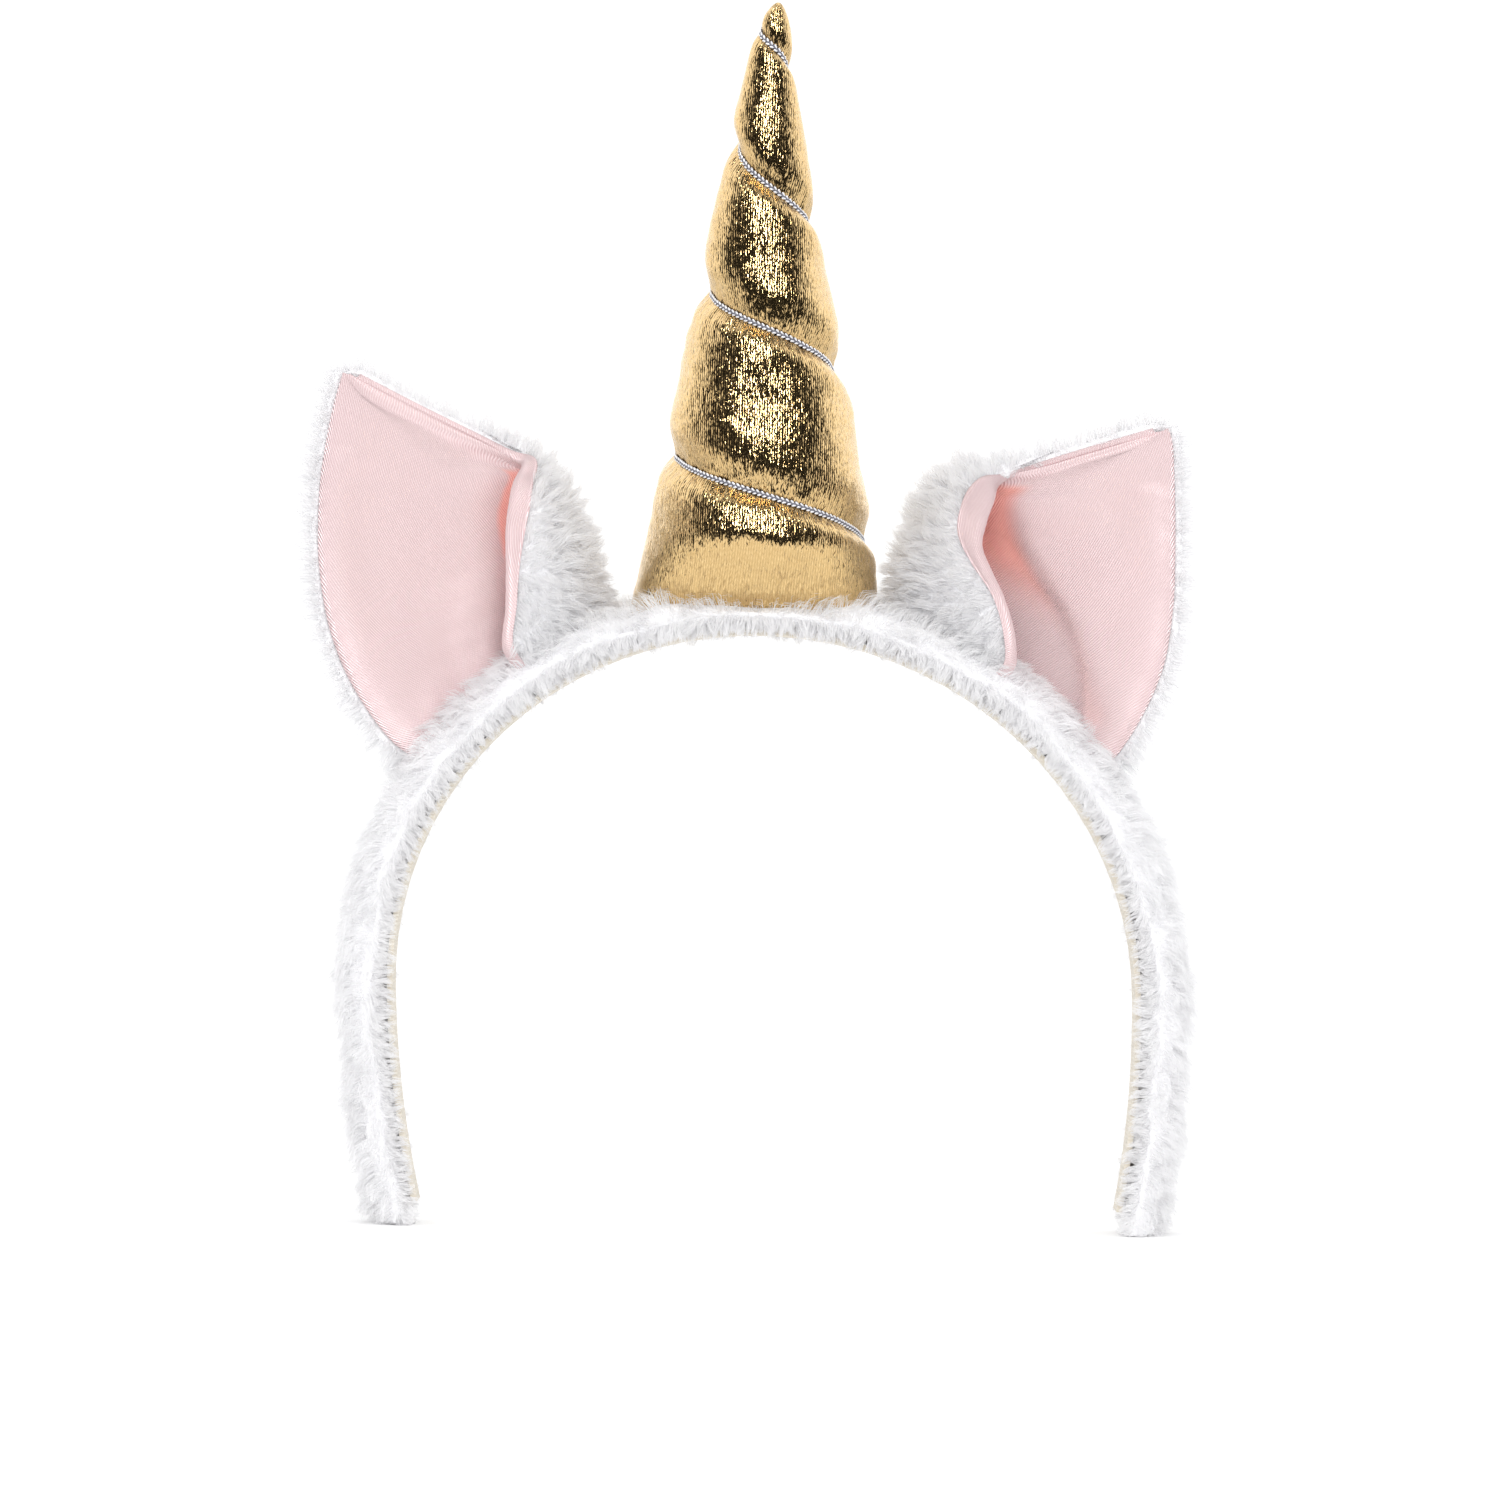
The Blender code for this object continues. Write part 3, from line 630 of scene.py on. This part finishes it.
distances = np.linspace(0, run[-1], 900)
middle, _, out, across = along_cord(distances)
rounds = 2 * math.pi * np.arange(CORE_SIDES) / CORE_SIDES
core = middle[:, None] + (
    out[:, None] * np.cos(rounds)[None, :, None] + across[:, None] * np.sin(rounds)[None, :, None]
) * CORE_RADIUS
core_index = first_free + np.arange(core.shape[0] * CORE_SIDES).reshape(-1, CORE_SIDES)
loop_face_count = len(braid_faces)
beside = np.roll(core_index, -1, axis=1)
core_quads = np.stack([core_index[:-1], beside[:-1], beside[1:], core_index[1:]], -1)
braid_faces += core_quads.reshape(-1, 4).tolist()
braid_faces += [core_index[0][::-1].tolist(), core_index[-1].tolist()]
mesh = bpy.data.meshes.new("silver_cord")
mesh.from_pydata((np.concatenate(braid_points + [core.reshape(-1, 3)]) * MM).tolist(), [], braid_faces)
mesh.shade_smooth()
silver_cord = linked_object("silver_cord", mesh)

silver_braid, tree, shader = shader_of("silver_braid")
braid_colour = blended(tree, noise_on(tree, 900, 2.0), (0.72, 0.73, 0.78), (0.98, 0.98, 1.0))
tree.links.new(braid_colour, shader.inputs["Base Color"])
shader.inputs["Metallic"].default_value = 0.2
shader.inputs["Roughness"].default_value = 0.25
bump_from(tree, shader, noise_on(tree, 5200, 2.0), 0.00003)
cord_core, tree, shader = shader_of("cord_core")
core_colour = blended(tree, noise_on(tree, 2600, 2.0), (0.05, 0.05, 0.07), (0.22, 0.22, 0.27))
tree.links.new(core_colour, shader.inputs["Base Color"])
shader.inputs["Roughness"].default_value = 0.6
bump_from(tree, shader, noise_on(tree, 5200, 2.0), 0.00003)
silver_cord.data.materials.append(silver_braid)
silver_cord.data.materials.append(cord_core)
for face in silver_cord.data.polygons:
    face.material_index = 1 if face.index >= loop_face_count else 0
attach(silver_cord, "root")
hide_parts("spiral_cord")

# Tape: a cream woven strip sewn over the plush's closing seam, flat against the wearer's hair.

cream_tape, tree, shader = shader_of("cream_tape")
place = tree.nodes.new("ShaderNodeTexCoord")
threads = tree.nodes.new("ShaderNodeTexWave")
threads.bands_direction = "Y"
threads.inputs["Scale"].default_value = 420
threads.inputs["Distortion"].default_value = 1.2
tree.links.new(place.outputs["Object"], threads.inputs["Vector"])
cross_threads = tree.nodes.new("ShaderNodeTexWave")
cross_threads.bands_direction = "Z"
cross_threads.inputs["Scale"].default_value = 380
cross_threads.inputs["Distortion"].default_value = 1.2
tree.links.new(place.outputs["Object"], cross_threads.inputs["Vector"])
weave = reckon(tree, "MULTIPLY", threads.outputs[1], cross_threads.outputs[1])
tree.links.new(blended(tree, weave, (0.68, 0.62, 0.52), (0.88, 0.84, 0.76)), shader.inputs["Base Color"])
shader.inputs["Roughness"].default_value = 0.8
shader.inputs["Sheen Weight"].default_value = 0.2
bump_from(tree, shader, weave, 0.00025)
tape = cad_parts["inner_tape"]
for slot in tape.material_slots:
    slot.material = cream_tape

# Ears: white plush backs lined with pink satin, sewn together round the edge and folded forward along
# the inner third. The satin rolls over the edge of the flap, and puckers a little along its seams.

EAR_COLUMNS = (
    "outer_x", "outer_z", "crease_x", "crease_z", "bulge_x", "bulge_z", "lip_x", "lip_z",
    "outer_y", "panel_y", "crease_y", "pocket_y", "flap_y", "lip_y", "wrap", "lip_w",
)
LEFT_EAR = (
    (-74.4, 96.2, -50.6, 113.2, -35.0, 123.8, -50.4, 115.6, -1.0, 2.6, 4.2, 9.5, -6.5, -8.5, 180, 0.2),
    (-82.4, 107.2, -50.4, 121.8, -36.4, 129.4, -50.0, 123.6, -1.4, 3.2, 4.4, 9.0, -6.4, -8.5, 180, 0.2),
    (-87.2, 118.8, -50.6, 129.4, -38.2, 135.0, -50.0, 131.4, -1.8, 3.6, 4.4, 8.2, -6.0, -8.0, 180, 0.7),
    (-89.4, 131.0, -52.6, 136.4, -40.4, 140.2, -50.2, 138.4, -2.0, 3.6, 4.0, 7.2, -5.2, -7.2, 180, 1.9),
    (-89.7, 140.6, -53.4, 141.8, -42.2, 144.4, -49.8, 143.6, -2.0, 3.4, 3.6, 6.2, -4.4, -6.3, 178, 2.3),
    (-89.4, 148.2, -52.4, 146.4, -44.2, 148.0, -49.2, 148.0, -2.0, 3.0, 2.8, 4.4, -3.0, -4.8, 168, 1.9),
    (-88.7, 153.6, -51.4, 150.6, -46.8, 151.0, -48.2, 151.4, -2.0, 2.4, 1.8, 2.2, -1.6, -3.2, 140, 1.0),
    (-88.0, 158.2, -58.6, 154.6, -52.0, 154.2, -51.0, 153.8, -2.0, 1.8, 0.6, 0.2, -0.3, -0.6, 105, 0.5),
    (-87.2, 162.4, -66.6, 159.6, -61.6, 158.8, -59.6, 158.2, -2.1, 1.0, 0.0, -0.3, -0.5, -0.7, 85, 0.5),
    (-86.2, 166.6, -75.6, 164.6, -72.6, 164.0, -71.0, 163.6, -2.3, -0.2, -0.9, -1.1, -1.2, -1.3, 80, 0.5),
    (-85.2, 169.8, -83.8, 169.7, -83.2, 169.6, -82.6, 169.4, -2.5, -2.3, -2.3, -2.3, -2.4, -2.5, 80, 0.5),
)
RIGHT_EAR = (
    (70.0, 94.4, 62.0, 102.0, 28.2, 123.6, 48.4, 114.0, -1.0, 1.6, 4.0, 9.8, -5.2, -9.0, 180, 0.2),
    (75.8, 103.4, 61.8, 113.0, 28.6, 129.6, 48.0, 120.6, -1.2, 1.8, 4.6, 10.0, -5.4, -9.0, 180, 0.2),
    (80.0, 114.0, 58.0, 124.6, 30.2, 136.0, 46.0, 127.4, -1.6, 1.8, 5.4, 10.0, -5.4, -8.6, 180, 0.4),
    (81.6, 125.4, 52.4, 132.8, 32.2, 141.4, 43.4, 133.2, -2.0, 1.6, 6.2, 9.6, -4.8, -8.0, 180, 2.2),
    (81.8, 134.6, 49.4, 138.4, 33.8, 145.2, 41.8, 137.8, -2.2, 1.4, 6.4, 8.8, -4.2, -7.4, 178, 4.2),
    (81.7, 142.4, 47.8, 143.4, 36.0, 148.6, 42.6, 142.4, -2.2, 1.0, 5.2, 6.4, -3.0, -6.0, 168, 4.6),
    (81.5, 148.4, 48.0, 147.6, 39.2, 150.6, 44.2, 147.0, -2.2, 0.8, 3.2, 3.4, -2.0, -4.2, 145, 3.6),
    (81.3, 152.6, 51.4, 150.8, 45.2, 151.6, 46.4, 150.6, -2.2, 0.4, 0.8, 0.4, -0.4, -1.0, 110, 1.2),
    (81.1, 156.2, 60.0, 154.2, 55.4, 154.0, 53.6, 153.4, -2.3, -0.1, -0.3, -0.5, -0.7, -0.9, 85, 0.5),
    (80.8, 159.0, 69.6, 157.8, 66.6, 157.4, 65.0, 157.0, -2.5, -0.8, -1.2, -1.4, -1.5, -1.6, 80, 0.5),
    (80.2, 161.2, 79.0, 161.1, 78.4, 161.0, 77.8, 160.9, -2.6, -2.4, -2.4, -2.4, -2.5, -2.6, 80, 0.5),
)
CREASE_SHARE = 0.3
CREASE_WIDE = 2.6
# How much painted coral shade goes along the right ear's crease.
CREASE_PAINTED_SHADE = 0.2
RIGHT_CREASE = np.array([
    (48.3, 141.6), (51.3, 137.2), (57.1, 130.6), (61.5, 123.2), (65.9, 113.0), (68.7, 103.6),
])
FROM_CAD_MIDDLE = np.array([2.3, -0.05, 0.0])
BAND_HALF_WIDTH = 79.4
BAND_RISE = 76.2
STEPS_ACROSS = 12
STEPS_UP = 10
WRAP_STEPS = 12
SATIN_THICK = 0.4
SATIN_MIDDLE = 0.65
SATIN_PUFF = 1.9
SEAM_WIDE = 3.0
STRIP_PROFILE = (
    (0.12, 0.02), (0.3, 0.05), (0.5, 0.08), (0.66, 0.16),
    (0.78, 0.34), (0.88, 0.42), (0.96, 0.25), (1.0, -0.35),
)
PELT_THICK = 1.5
PELT_BEYOND = 1.3
PELT_GAP = 0.15
EAR_PILE_FROM = 78.5
ROLL_CLEARS = 0.15
ROLL_NARROWS = 0.62
EAR_PILE_HIGH = 3.6
EAR_PILE_PER_MM2 = 11.0

# Where a change starts in an ear, and how far it goes: across in parts of the row from the outer edge, up
# in rows of the table.

# Where the painted coral shade in the satin stops across the row:
PAINTED_SHADE_ENDS = (5.2, 0.6)
PANEL_ENDS = (1.6, 0.5)
TOP_PANEL = (6.8, 0.8)
TOP_ROLL = (7.0, 1.4)
TOP_EVENED = (5.8, 0.8)
TOP_PELT = (6.6, 0.8)

pink_satin, tree, shader = shader_of("pink_satin")
cut = tree.nodes.new("ShaderNodeUVMap")
cut.uv_map = "cut"
parted = tree.nodes.new("ShaderNodeSeparateXYZ")
tree.links.new(cut.outputs[0], parted.inputs[0])
slope = reckon(tree, "ADD", reckon(tree, "MULTIPLY", parted.outputs[0], 2.1), parted.outputs[1])
twill = reckon(tree, "SINE", reckon(tree, "MULTIPLY", slope, 2 * math.pi / 1.05))
# Painted shade: where the attribute marks the slit, the pocket and the crease, the satin's colour turns coral
# (1.0, 0.48, 0.42), standing in for the shade and the light bounced about inside them.
painted_fold_shade = tree.nodes.new("ShaderNodeAttribute")
painted_fold_shade.attribute_name = "painted_fold_shade"
pale = blended(tree, reckon(tree, "MULTIPLY_ADD", twill, 0.5, 0.5), (0.74, 0.535, 0.545), (0.86, 0.69, 0.70))
tree.links.new(blended(tree, painted_fold_shade.outputs["Fac"], pale, (1.0, 0.48, 0.42)), shader.inputs["Base Color"])
satin_roughness = reckon(tree, "MULTIPLY_ADD", noise_on(tree, 70, 3.0), 0.25, 0.20)
tree.links.new(satin_roughness, shader.inputs["Roughness"])
shader.inputs["Metallic"].default_value = 0.15
shader.inputs["Specular IOR Level"].default_value = 0.8
shader.inputs["Sheen Weight"].default_value = 0.15
shader.inputs["Sheen Roughness"].default_value = 0.35
bump_from(tree, shader, twill, 0.00006)


def ear_grid(table):
    """The ear between its two layers: rows from inside the band to the tip, each from outer edge to lip."""
    columns = {name: np.array(values, float) for name, values in zip(EAR_COLUMNS, zip(*table))}

    def corner(part, y):
        return np.stack([columns[part + "_x"], y, columns[part + "_z"]], 1)

    outer = corner("outer", columns["outer_y"])
    crease = corner("crease", columns["crease_y"])
    bulge = corner("bulge", 0.5 * (columns["pocket_y"] + columns["flap_y"]))
    lip = corner("lip", columns["lip_y"])
    panel = 0.5 * (outer + crease)
    panel[:, 1] = columns["panel_y"]
    pocket = crease + (bulge - crease) * 0.62
    pocket[:, 1] = columns["pocket_y"]
    flap = bulge + (lip - bulge) * 0.42
    flap[:, 1] = columns["flap_y"]
    controls = np.stack([outer, panel, crease, pocket, bulge, flap, lip], 1) + FROM_CAD_MIDDLE
    from_middle = controls[0] - [ARCH_MIDDLE_X, 0, ARCH_MIDDLE_Z]
    round_arch = np.arctan2(from_middle[:, 2] / BAND_RISE, from_middle[:, 0] / BAND_HALF_WIDTH)
    root = controls[0].copy()
    root[:, 0] = ARCH_MIDDLE_X + BAND_HALF_WIDTH * np.cos(round_arch)
    root[:, 2] = ARCH_MIDDLE_Z + BAND_RISE * np.sin(round_arch)
    controls = np.concatenate([root[None], controls])
    up = np.arange((len(controls) - 1) * STEPS_UP + 1) / STEPS_UP
    across = np.arange(6 * STEPS_ACROSS + 1) / STEPS_ACROSS
    grid = through(through(controls, up).transpose(1, 0, 2), across).transpose(1, 0, 2)
    at_table = np.clip(up - 1, 0, None)
    wraps = through(columns["wrap"], at_table)
    lips = through(columns["lip_w"], at_table)
    return grid, up, across, wraps, lips


def sheet_directions(grid, facing):
    """The unit directions to the plush side and towards the lip, at each point."""
    upward = np.gradient(grid, axis=0)
    toward = np.gradient(grid, axis=1)
    return unit(np.cross(upward, toward)) * facing, unit(toward)


def lengths_along(grid, axis):
    steps = np.linalg.norm(np.diff(grid, axis=axis), axis=-1)
    start = np.zeros(grid.shape[0] if axis == 1 else (1, grid.shape[1]))
    start = start[:, None] if axis == 1 else start
    return np.concatenate([start, np.cumsum(steps, axis=axis)], axis=axis)


def how_far_from(route, points):
    """The distance of each point from a route drawn in the front view, in millimetres."""
    nearest = np.full(points.shape[:-1], 1000.0)
    for start, end in zip(route[:-1], route[1:]):
        onward = end - start
        offset = points[..., [0, 2]] - start
        along = np.clip((offset @ onward) / (onward**2).sum(), 0, 1)
        nearest = np.minimum(nearest, np.linalg.norm(offset - along[..., None] * onward, axis=-1))
    return nearest


def evened_out(values, axis, times):
    """Rows or columns of points made smoother, with the first and last left where they are."""
    values = np.moveaxis(values, axis, 0).copy()
    for _ in range(times):
        values[1:-1] = (values[:-2] + 2 * values[1:-1] + values[2:]) / 4
    return np.moveaxis(values, 0, axis)


def satin_grid(sheet, backs, towards, crease, painted_shade_span, seed):
    """The satin from the outer edge over the lip, its lengths across and up, and its share of painted shade,
    the coral put into the slit, the pocket and the crease.
    """
    grid, up, across, wraps, lips = sheet
    edge = grid[:, -1]
    back = unit(evened_out(backs[:, -1], 0, 30))
    toward = unit(evened_out(towards[:, -1], 0, 30))
    satin = grid - backs * SATIN_MIDDLE
    row = np.clip(up - 1, 0, None)
    from_across, over_across, low_row, over_low, high_row, over_high = painted_shade_span
    # Painted shade: the coral share rises across the row into the slit or pocket and fades out past the
    # bulge, between a low and a high row.
    painted_shade_share = risen(across, from_across, over_across) * (1 - risen(across, *PAINTED_SHADE_ENDS))
    painted_shade_share = painted_shade_share * (risen(row, low_row, over_low) * (1 - risen(row, high_row, over_high)))[:, None]
    panel = np.maximum(1 - risen(across, *PANEL_ENDS), risen(row, *TOP_PANEL)[:, None])
    rounded = (PELT_THICK + 2 * SATIN_MIDDLE) / 2 + ROLL_CLEARS
    rounded = rounded * (1 - ROLL_NARROWS * risen(up, *TOP_ROLL))[:, None]
    turn_middle = rounded - SATIN_MIDDLE
    strips, directions = [satin], [backs]
    for step in range(1, WRAP_STEPS + 1):
        angle = np.radians(wraps) * step / WRAP_STEPS
        swing = -back * np.cos(angle)[:, None] + toward * np.sin(angle)[:, None]
        strips.append((edge + toward * 0.3 + back * turn_middle + swing * rounded)[:, None])
        directions.append(-swing[:, None])
    onward = back * np.sin(np.radians(wraps))[:, None] + toward * np.cos(np.radians(wraps))[:, None]
    last = strips[-1][:, 0]
    for share, lift in STRIP_PROFILE:
        lifted = lift * np.minimum(1.0, lips / 1.6)
        strips.append((last + onward * (lips * share)[:, None] + swing * lifted[:, None])[:, None])
        directions.append(-swing[:, None])
    satin, satin_backs = np.concatenate(strips, 1), np.concatenate(directions, 1)
    beyond = np.zeros((len(up), satin.shape[1] - painted_shade_share.shape[1]))
    painted_shade_share, panel = np.concatenate([painted_shade_share, beyond], 1), np.concatenate([panel, beyond], 1)
    over, upward = lengths_along(satin, 1), lengths_along(satin, 0)
    from_lip = np.abs(over - over[:, len(across) - 1][:, None])
    phase = np.random.default_rng(seed).uniform(0, 6, 2)
    seam_ripple = np.sin(upward * 2.3 + phase[0]) * np.sin(upward * 0.9 + phase[1])
    ripple = 0.10 * seam_ripple * (np.exp(-over / 3.2) + np.exp(-from_lip / 3.0) * 0.8)
    seam = np.minimum(over, from_lip)
    puffed = SATIN_PUFF * (1 - np.exp(-((seam / SEAM_WIDE) ** 2)))
    if crease is not None:
        creased = np.exp(-((how_far_from(crease, satin) / CREASE_WIDE) ** 2))
        puffed *= 1 - CREASE_SHARE * creased
        # Painted shade: a little coral along the crease, where the satin dips into a shadowed valley.
        painted_shade_share = np.maximum(painted_shade_share, CREASE_PAINTED_SHADE * creased * panel)
    drape = puffed * (1 + 0.22 * waves(satin, 20.0, seed) + 0.05 * waves(satin, 7.0, seed + 1))
    satin = satin + satin_backs * (ripple - drape * panel)[..., None]
    near_top = risen(row, *TOP_EVENED)[:, None, None]
    satin += (evened_out(evened_out(satin, 1, 36), 0, 10) - satin) * near_top
    return satin, over, upward, painted_shade_share


def satin_lining(name, satin, over, upward, painted_shade_share):
    """The satin as a thin wall, with its flat cut as a UV map and its share of painted coral shade as an
    attribute.
    """
    lining = linked_object(name, grid_mesh(name, satin))
    corner_points = np.empty(len(lining.data.loops), int)
    lining.data.loops.foreach_get("vertex_index", corner_points)
    flat_cut = np.stack([over.ravel(), upward[:, :1].repeat(over.shape[1], 1).ravel()], 1)
    mapped(lining.data, "cut", flat_cut[corner_points])
    # The share of painted coral shade goes on each point as an attribute.
    depth = lining.data.attributes.new("painted_fold_shade", "FLOAT", "POINT")
    depth.data.foreach_set("value", painted_shade_share.ravel().astype(np.float32))
    alone(lining)
    wall = lining.modifiers.new("thickness", "SOLIDIFY")
    wall.thickness = SATIN_THICK * MM
    wall.offset = 0.0
    bpy.ops.object.modifier_apply(modifier=wall.name)
    lining.data.materials.append(pink_satin)
    turned_outwards(lining)
    return lining


def plush_back(name, sheet, backs, towards):
    """The plush's backing, with pile called for on its back, at its outer edge and past its lip."""
    grid, up, across, _, _ = sheet
    row = np.clip(up - 1, 0, None)
    past_the_top = PELT_BEYOND * np.maximum(risen(row, *TOP_PELT), 0.06)[:, None, None]
    outermost = grid[:, :1] - towards[:, :1] * PELT_BEYOND
    innermost = grid[:, -1:] + towards[:, -1:] * past_the_top
    pelt = np.concatenate([outermost, grid, innermost], 1)
    pelt_backs = np.concatenate([backs[:, :1], backs, backs[:, -1:]], 1)
    near, far = pelt + pelt_backs * PELT_GAP, pelt + pelt_backs * (PELT_GAP + PELT_THICK)
    layer = np.concatenate([near, far[:, ::-1]], 1)
    backing = linked_object(name, grid_mesh(name, layer, True, True))
    backing.data.materials.append(plush_backing)
    backing.data.materials.append(plush_backing)
    columns = len(across) + 2
    for index, face in enumerate(backing.data.polygons):
        column = index % (2 * columns)
        outside = index < (len(up) - 1) * 2 * columns and (column == 0 or column >= columns - 2)
        face.material_index = 1 if outside or face.loop_total > 4 else 0
    turned_outwards(backing)
    return backing


def make_ear(name, table, facing, crease, painted_shade_span, seed):
    """Both layers of an ear and its pile."""
    sheet = ear_grid(table)
    grid, up, across, _, _ = sheet
    backs, towards = sheet_directions(grid, facing)
    lining = satin_lining(name + "_satin_lining", *satin_grid(sheet, backs, towards, crease, painted_shade_span, seed))
    backing = plush_back(name + "_plush_backing", sheet, backs, towards)
    middle = grid[len(up) // 3, len(across) // 3] * MM

    def ear_lean(roots, ups):
        away = roots - middle
        away[:, 1] = 0
        return unit(unit(away) + np.array([0, 0, 0.25]))

    def above_the_band(roots, ups):
        out = roots - np.array([ARCH_MIDDLE_X, 0, ARCH_MIDDLE_Z]) * MM
        return np.hypot(out[:, 0], out[:, 2]) > EAR_PILE_FROM * MM

    bpy.context.view_layer.update()
    strip = [(BVHTree.FromObject(lining, bpy.context.evaluated_depsgraph_get()), 0.004)]
    piles = grow_pile(
        name + "_pile", backing, ear_lean, EAR_PILE_HIGH, EAR_PILE_PER_MM2, seed, above_the_band, strip,
    )
    for piece, slot in ((lining, "pink_satin"), (backing, "white_plush"), (piles[0], "white_plush")):
        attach(piece, "root")
    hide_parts(name + "_satin")
    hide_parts(name + "_plush")
    return lining, backing


ears = [
    # Each ear's last tuple places its painted coral shade: from across, over, low row, over, high row, over.
    make_ear("left_ear", LEFT_EAR, 1.0, None, (1.9, 0.1, -1.5, 1.2, 5.9, 0.4), 31),
    make_ear("right_ear", RIGHT_EAR, -1.0, RIGHT_CREASE, (1.7, 0.35, 1.3, 2.2, 6.3, 0.6), 37),
]

# The band's pile comes last, because it parts round the foot of the horn and the roots of the ears.

bpy.context.view_layer.update()
graph = bpy.context.evaluated_depsgraph_get()
in_the_way = [(horn_surface, 0.006)] + [
    (BVHTree.FromObject(piece, graph), 0.003) for ear in ears for piece in ear
]
band_piles = grow_pile(
    "band_pile", band_backing, band_lean, PILE_HIGH, PILE_PER_MM2, 11, clear_of_the_tape, in_the_way,
    parts=(("_left", -1.0), ("_crown", -0.045), ("_right", 0.050)), crowd=crowded_by_the_tape,
    shorter=shorter_inside,
)
for piece in (band_backing, *band_piles):
    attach(piece, "root")
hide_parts("band_plush")

# Floor and light: a plain pale floor, soft light all round, and a darker room behind the camera, which
# the gold shows as its dark middle. A tall softbox gives the gold its shine, and a wide one lights the
# plush and the satin.

bpy.ops.mesh.primitive_plane_add(size=400, location=(0, 199.75, 0))
floor = bpy.context.object
floor.name = "floor"
pale_floor, tree, shader = shader_of("pale_floor")
shader.inputs["Base Color"].default_value = (0.96, 0.96, 0.96, 1)
shader.inputs["Roughness"].default_value = 0.9
shader.inputs["Specular IOR Level"].default_value = 0.1
floor.data.materials.append(pale_floor)

world = bpy.data.worlds.new("soft_room")
bpy.context.scene.world = world
world.use_nodes = True
tree = world.node_tree
surround = tree.nodes["Background"]
direction = tree.nodes.new("ShaderNodeTexCoord")
parted = tree.nodes.new("ShaderNodeSeparateXYZ")
tree.links.new(direction.outputs["Generated"], parted.inputs[0])
behind_camera = tree.nodes.new("ShaderNodeMapRange")
behind_camera.interpolation_type = "SMOOTHSTEP"
behind_camera.inputs["From Min"].default_value = -0.12
behind_camera.inputs["From Max"].default_value = 0.16
behind_camera.inputs["To Min"].default_value = 0.02
behind_camera.inputs["To Max"].default_value = 1.5
tree.links.new(parted.outputs[1], behind_camera.inputs["Value"])
seen = tree.nodes.new("ShaderNodeLightPath")
level = reckon(
    tree, "MAXIMUM", reckon(tree, "MULTIPLY", behind_camera.outputs[0], seen.outputs["Is Glossy Ray"]),
    reckon(tree, "MULTIPLY", reckon(tree, "SUBTRACT", 1.0, seen.outputs["Is Glossy Ray"]), 1.15),
)
world.cycles.sampling_method = "NONE"
shade = tree.nodes.new("ShaderNodeCombineXYZ")
for socket in shade.inputs:
    tree.links.new(level, socket)
tree.links.new(shade.outputs[0], surround.inputs["Color"])
surround.inputs["Strength"].default_value = 1.0

for name, place, size, watts, lights_plush in (
    ("front_softbox", (0.0, -0.98, 1.06), (0.18, 0.98), 13.0, False),
    ("fill_softbox", (0.0, -1.7, 0.55), (1.0, 0.8), 11.5, True),
):
    lamp_data = bpy.data.lights.new(name, "AREA")
    lamp_data.shape = "RECTANGLE"
    lamp_data.size, lamp_data.size_y = size
    lamp_data.energy = watts
    lamp = bpy.data.objects.new(name, lamp_data)
    bpy.context.scene.collection.objects.link(lamp)
    lamp.location = place
    lamp.visible_diffuse = lights_plush
    lamp.visible_glossy = not lights_plush
    lamp.rotation_euler = (Vector((0, 0, 0.13)) - lamp.location).to_track_quat("-Z", "Y").to_euler()

bpy.context.scene.view_settings.view_transform = "Standard"
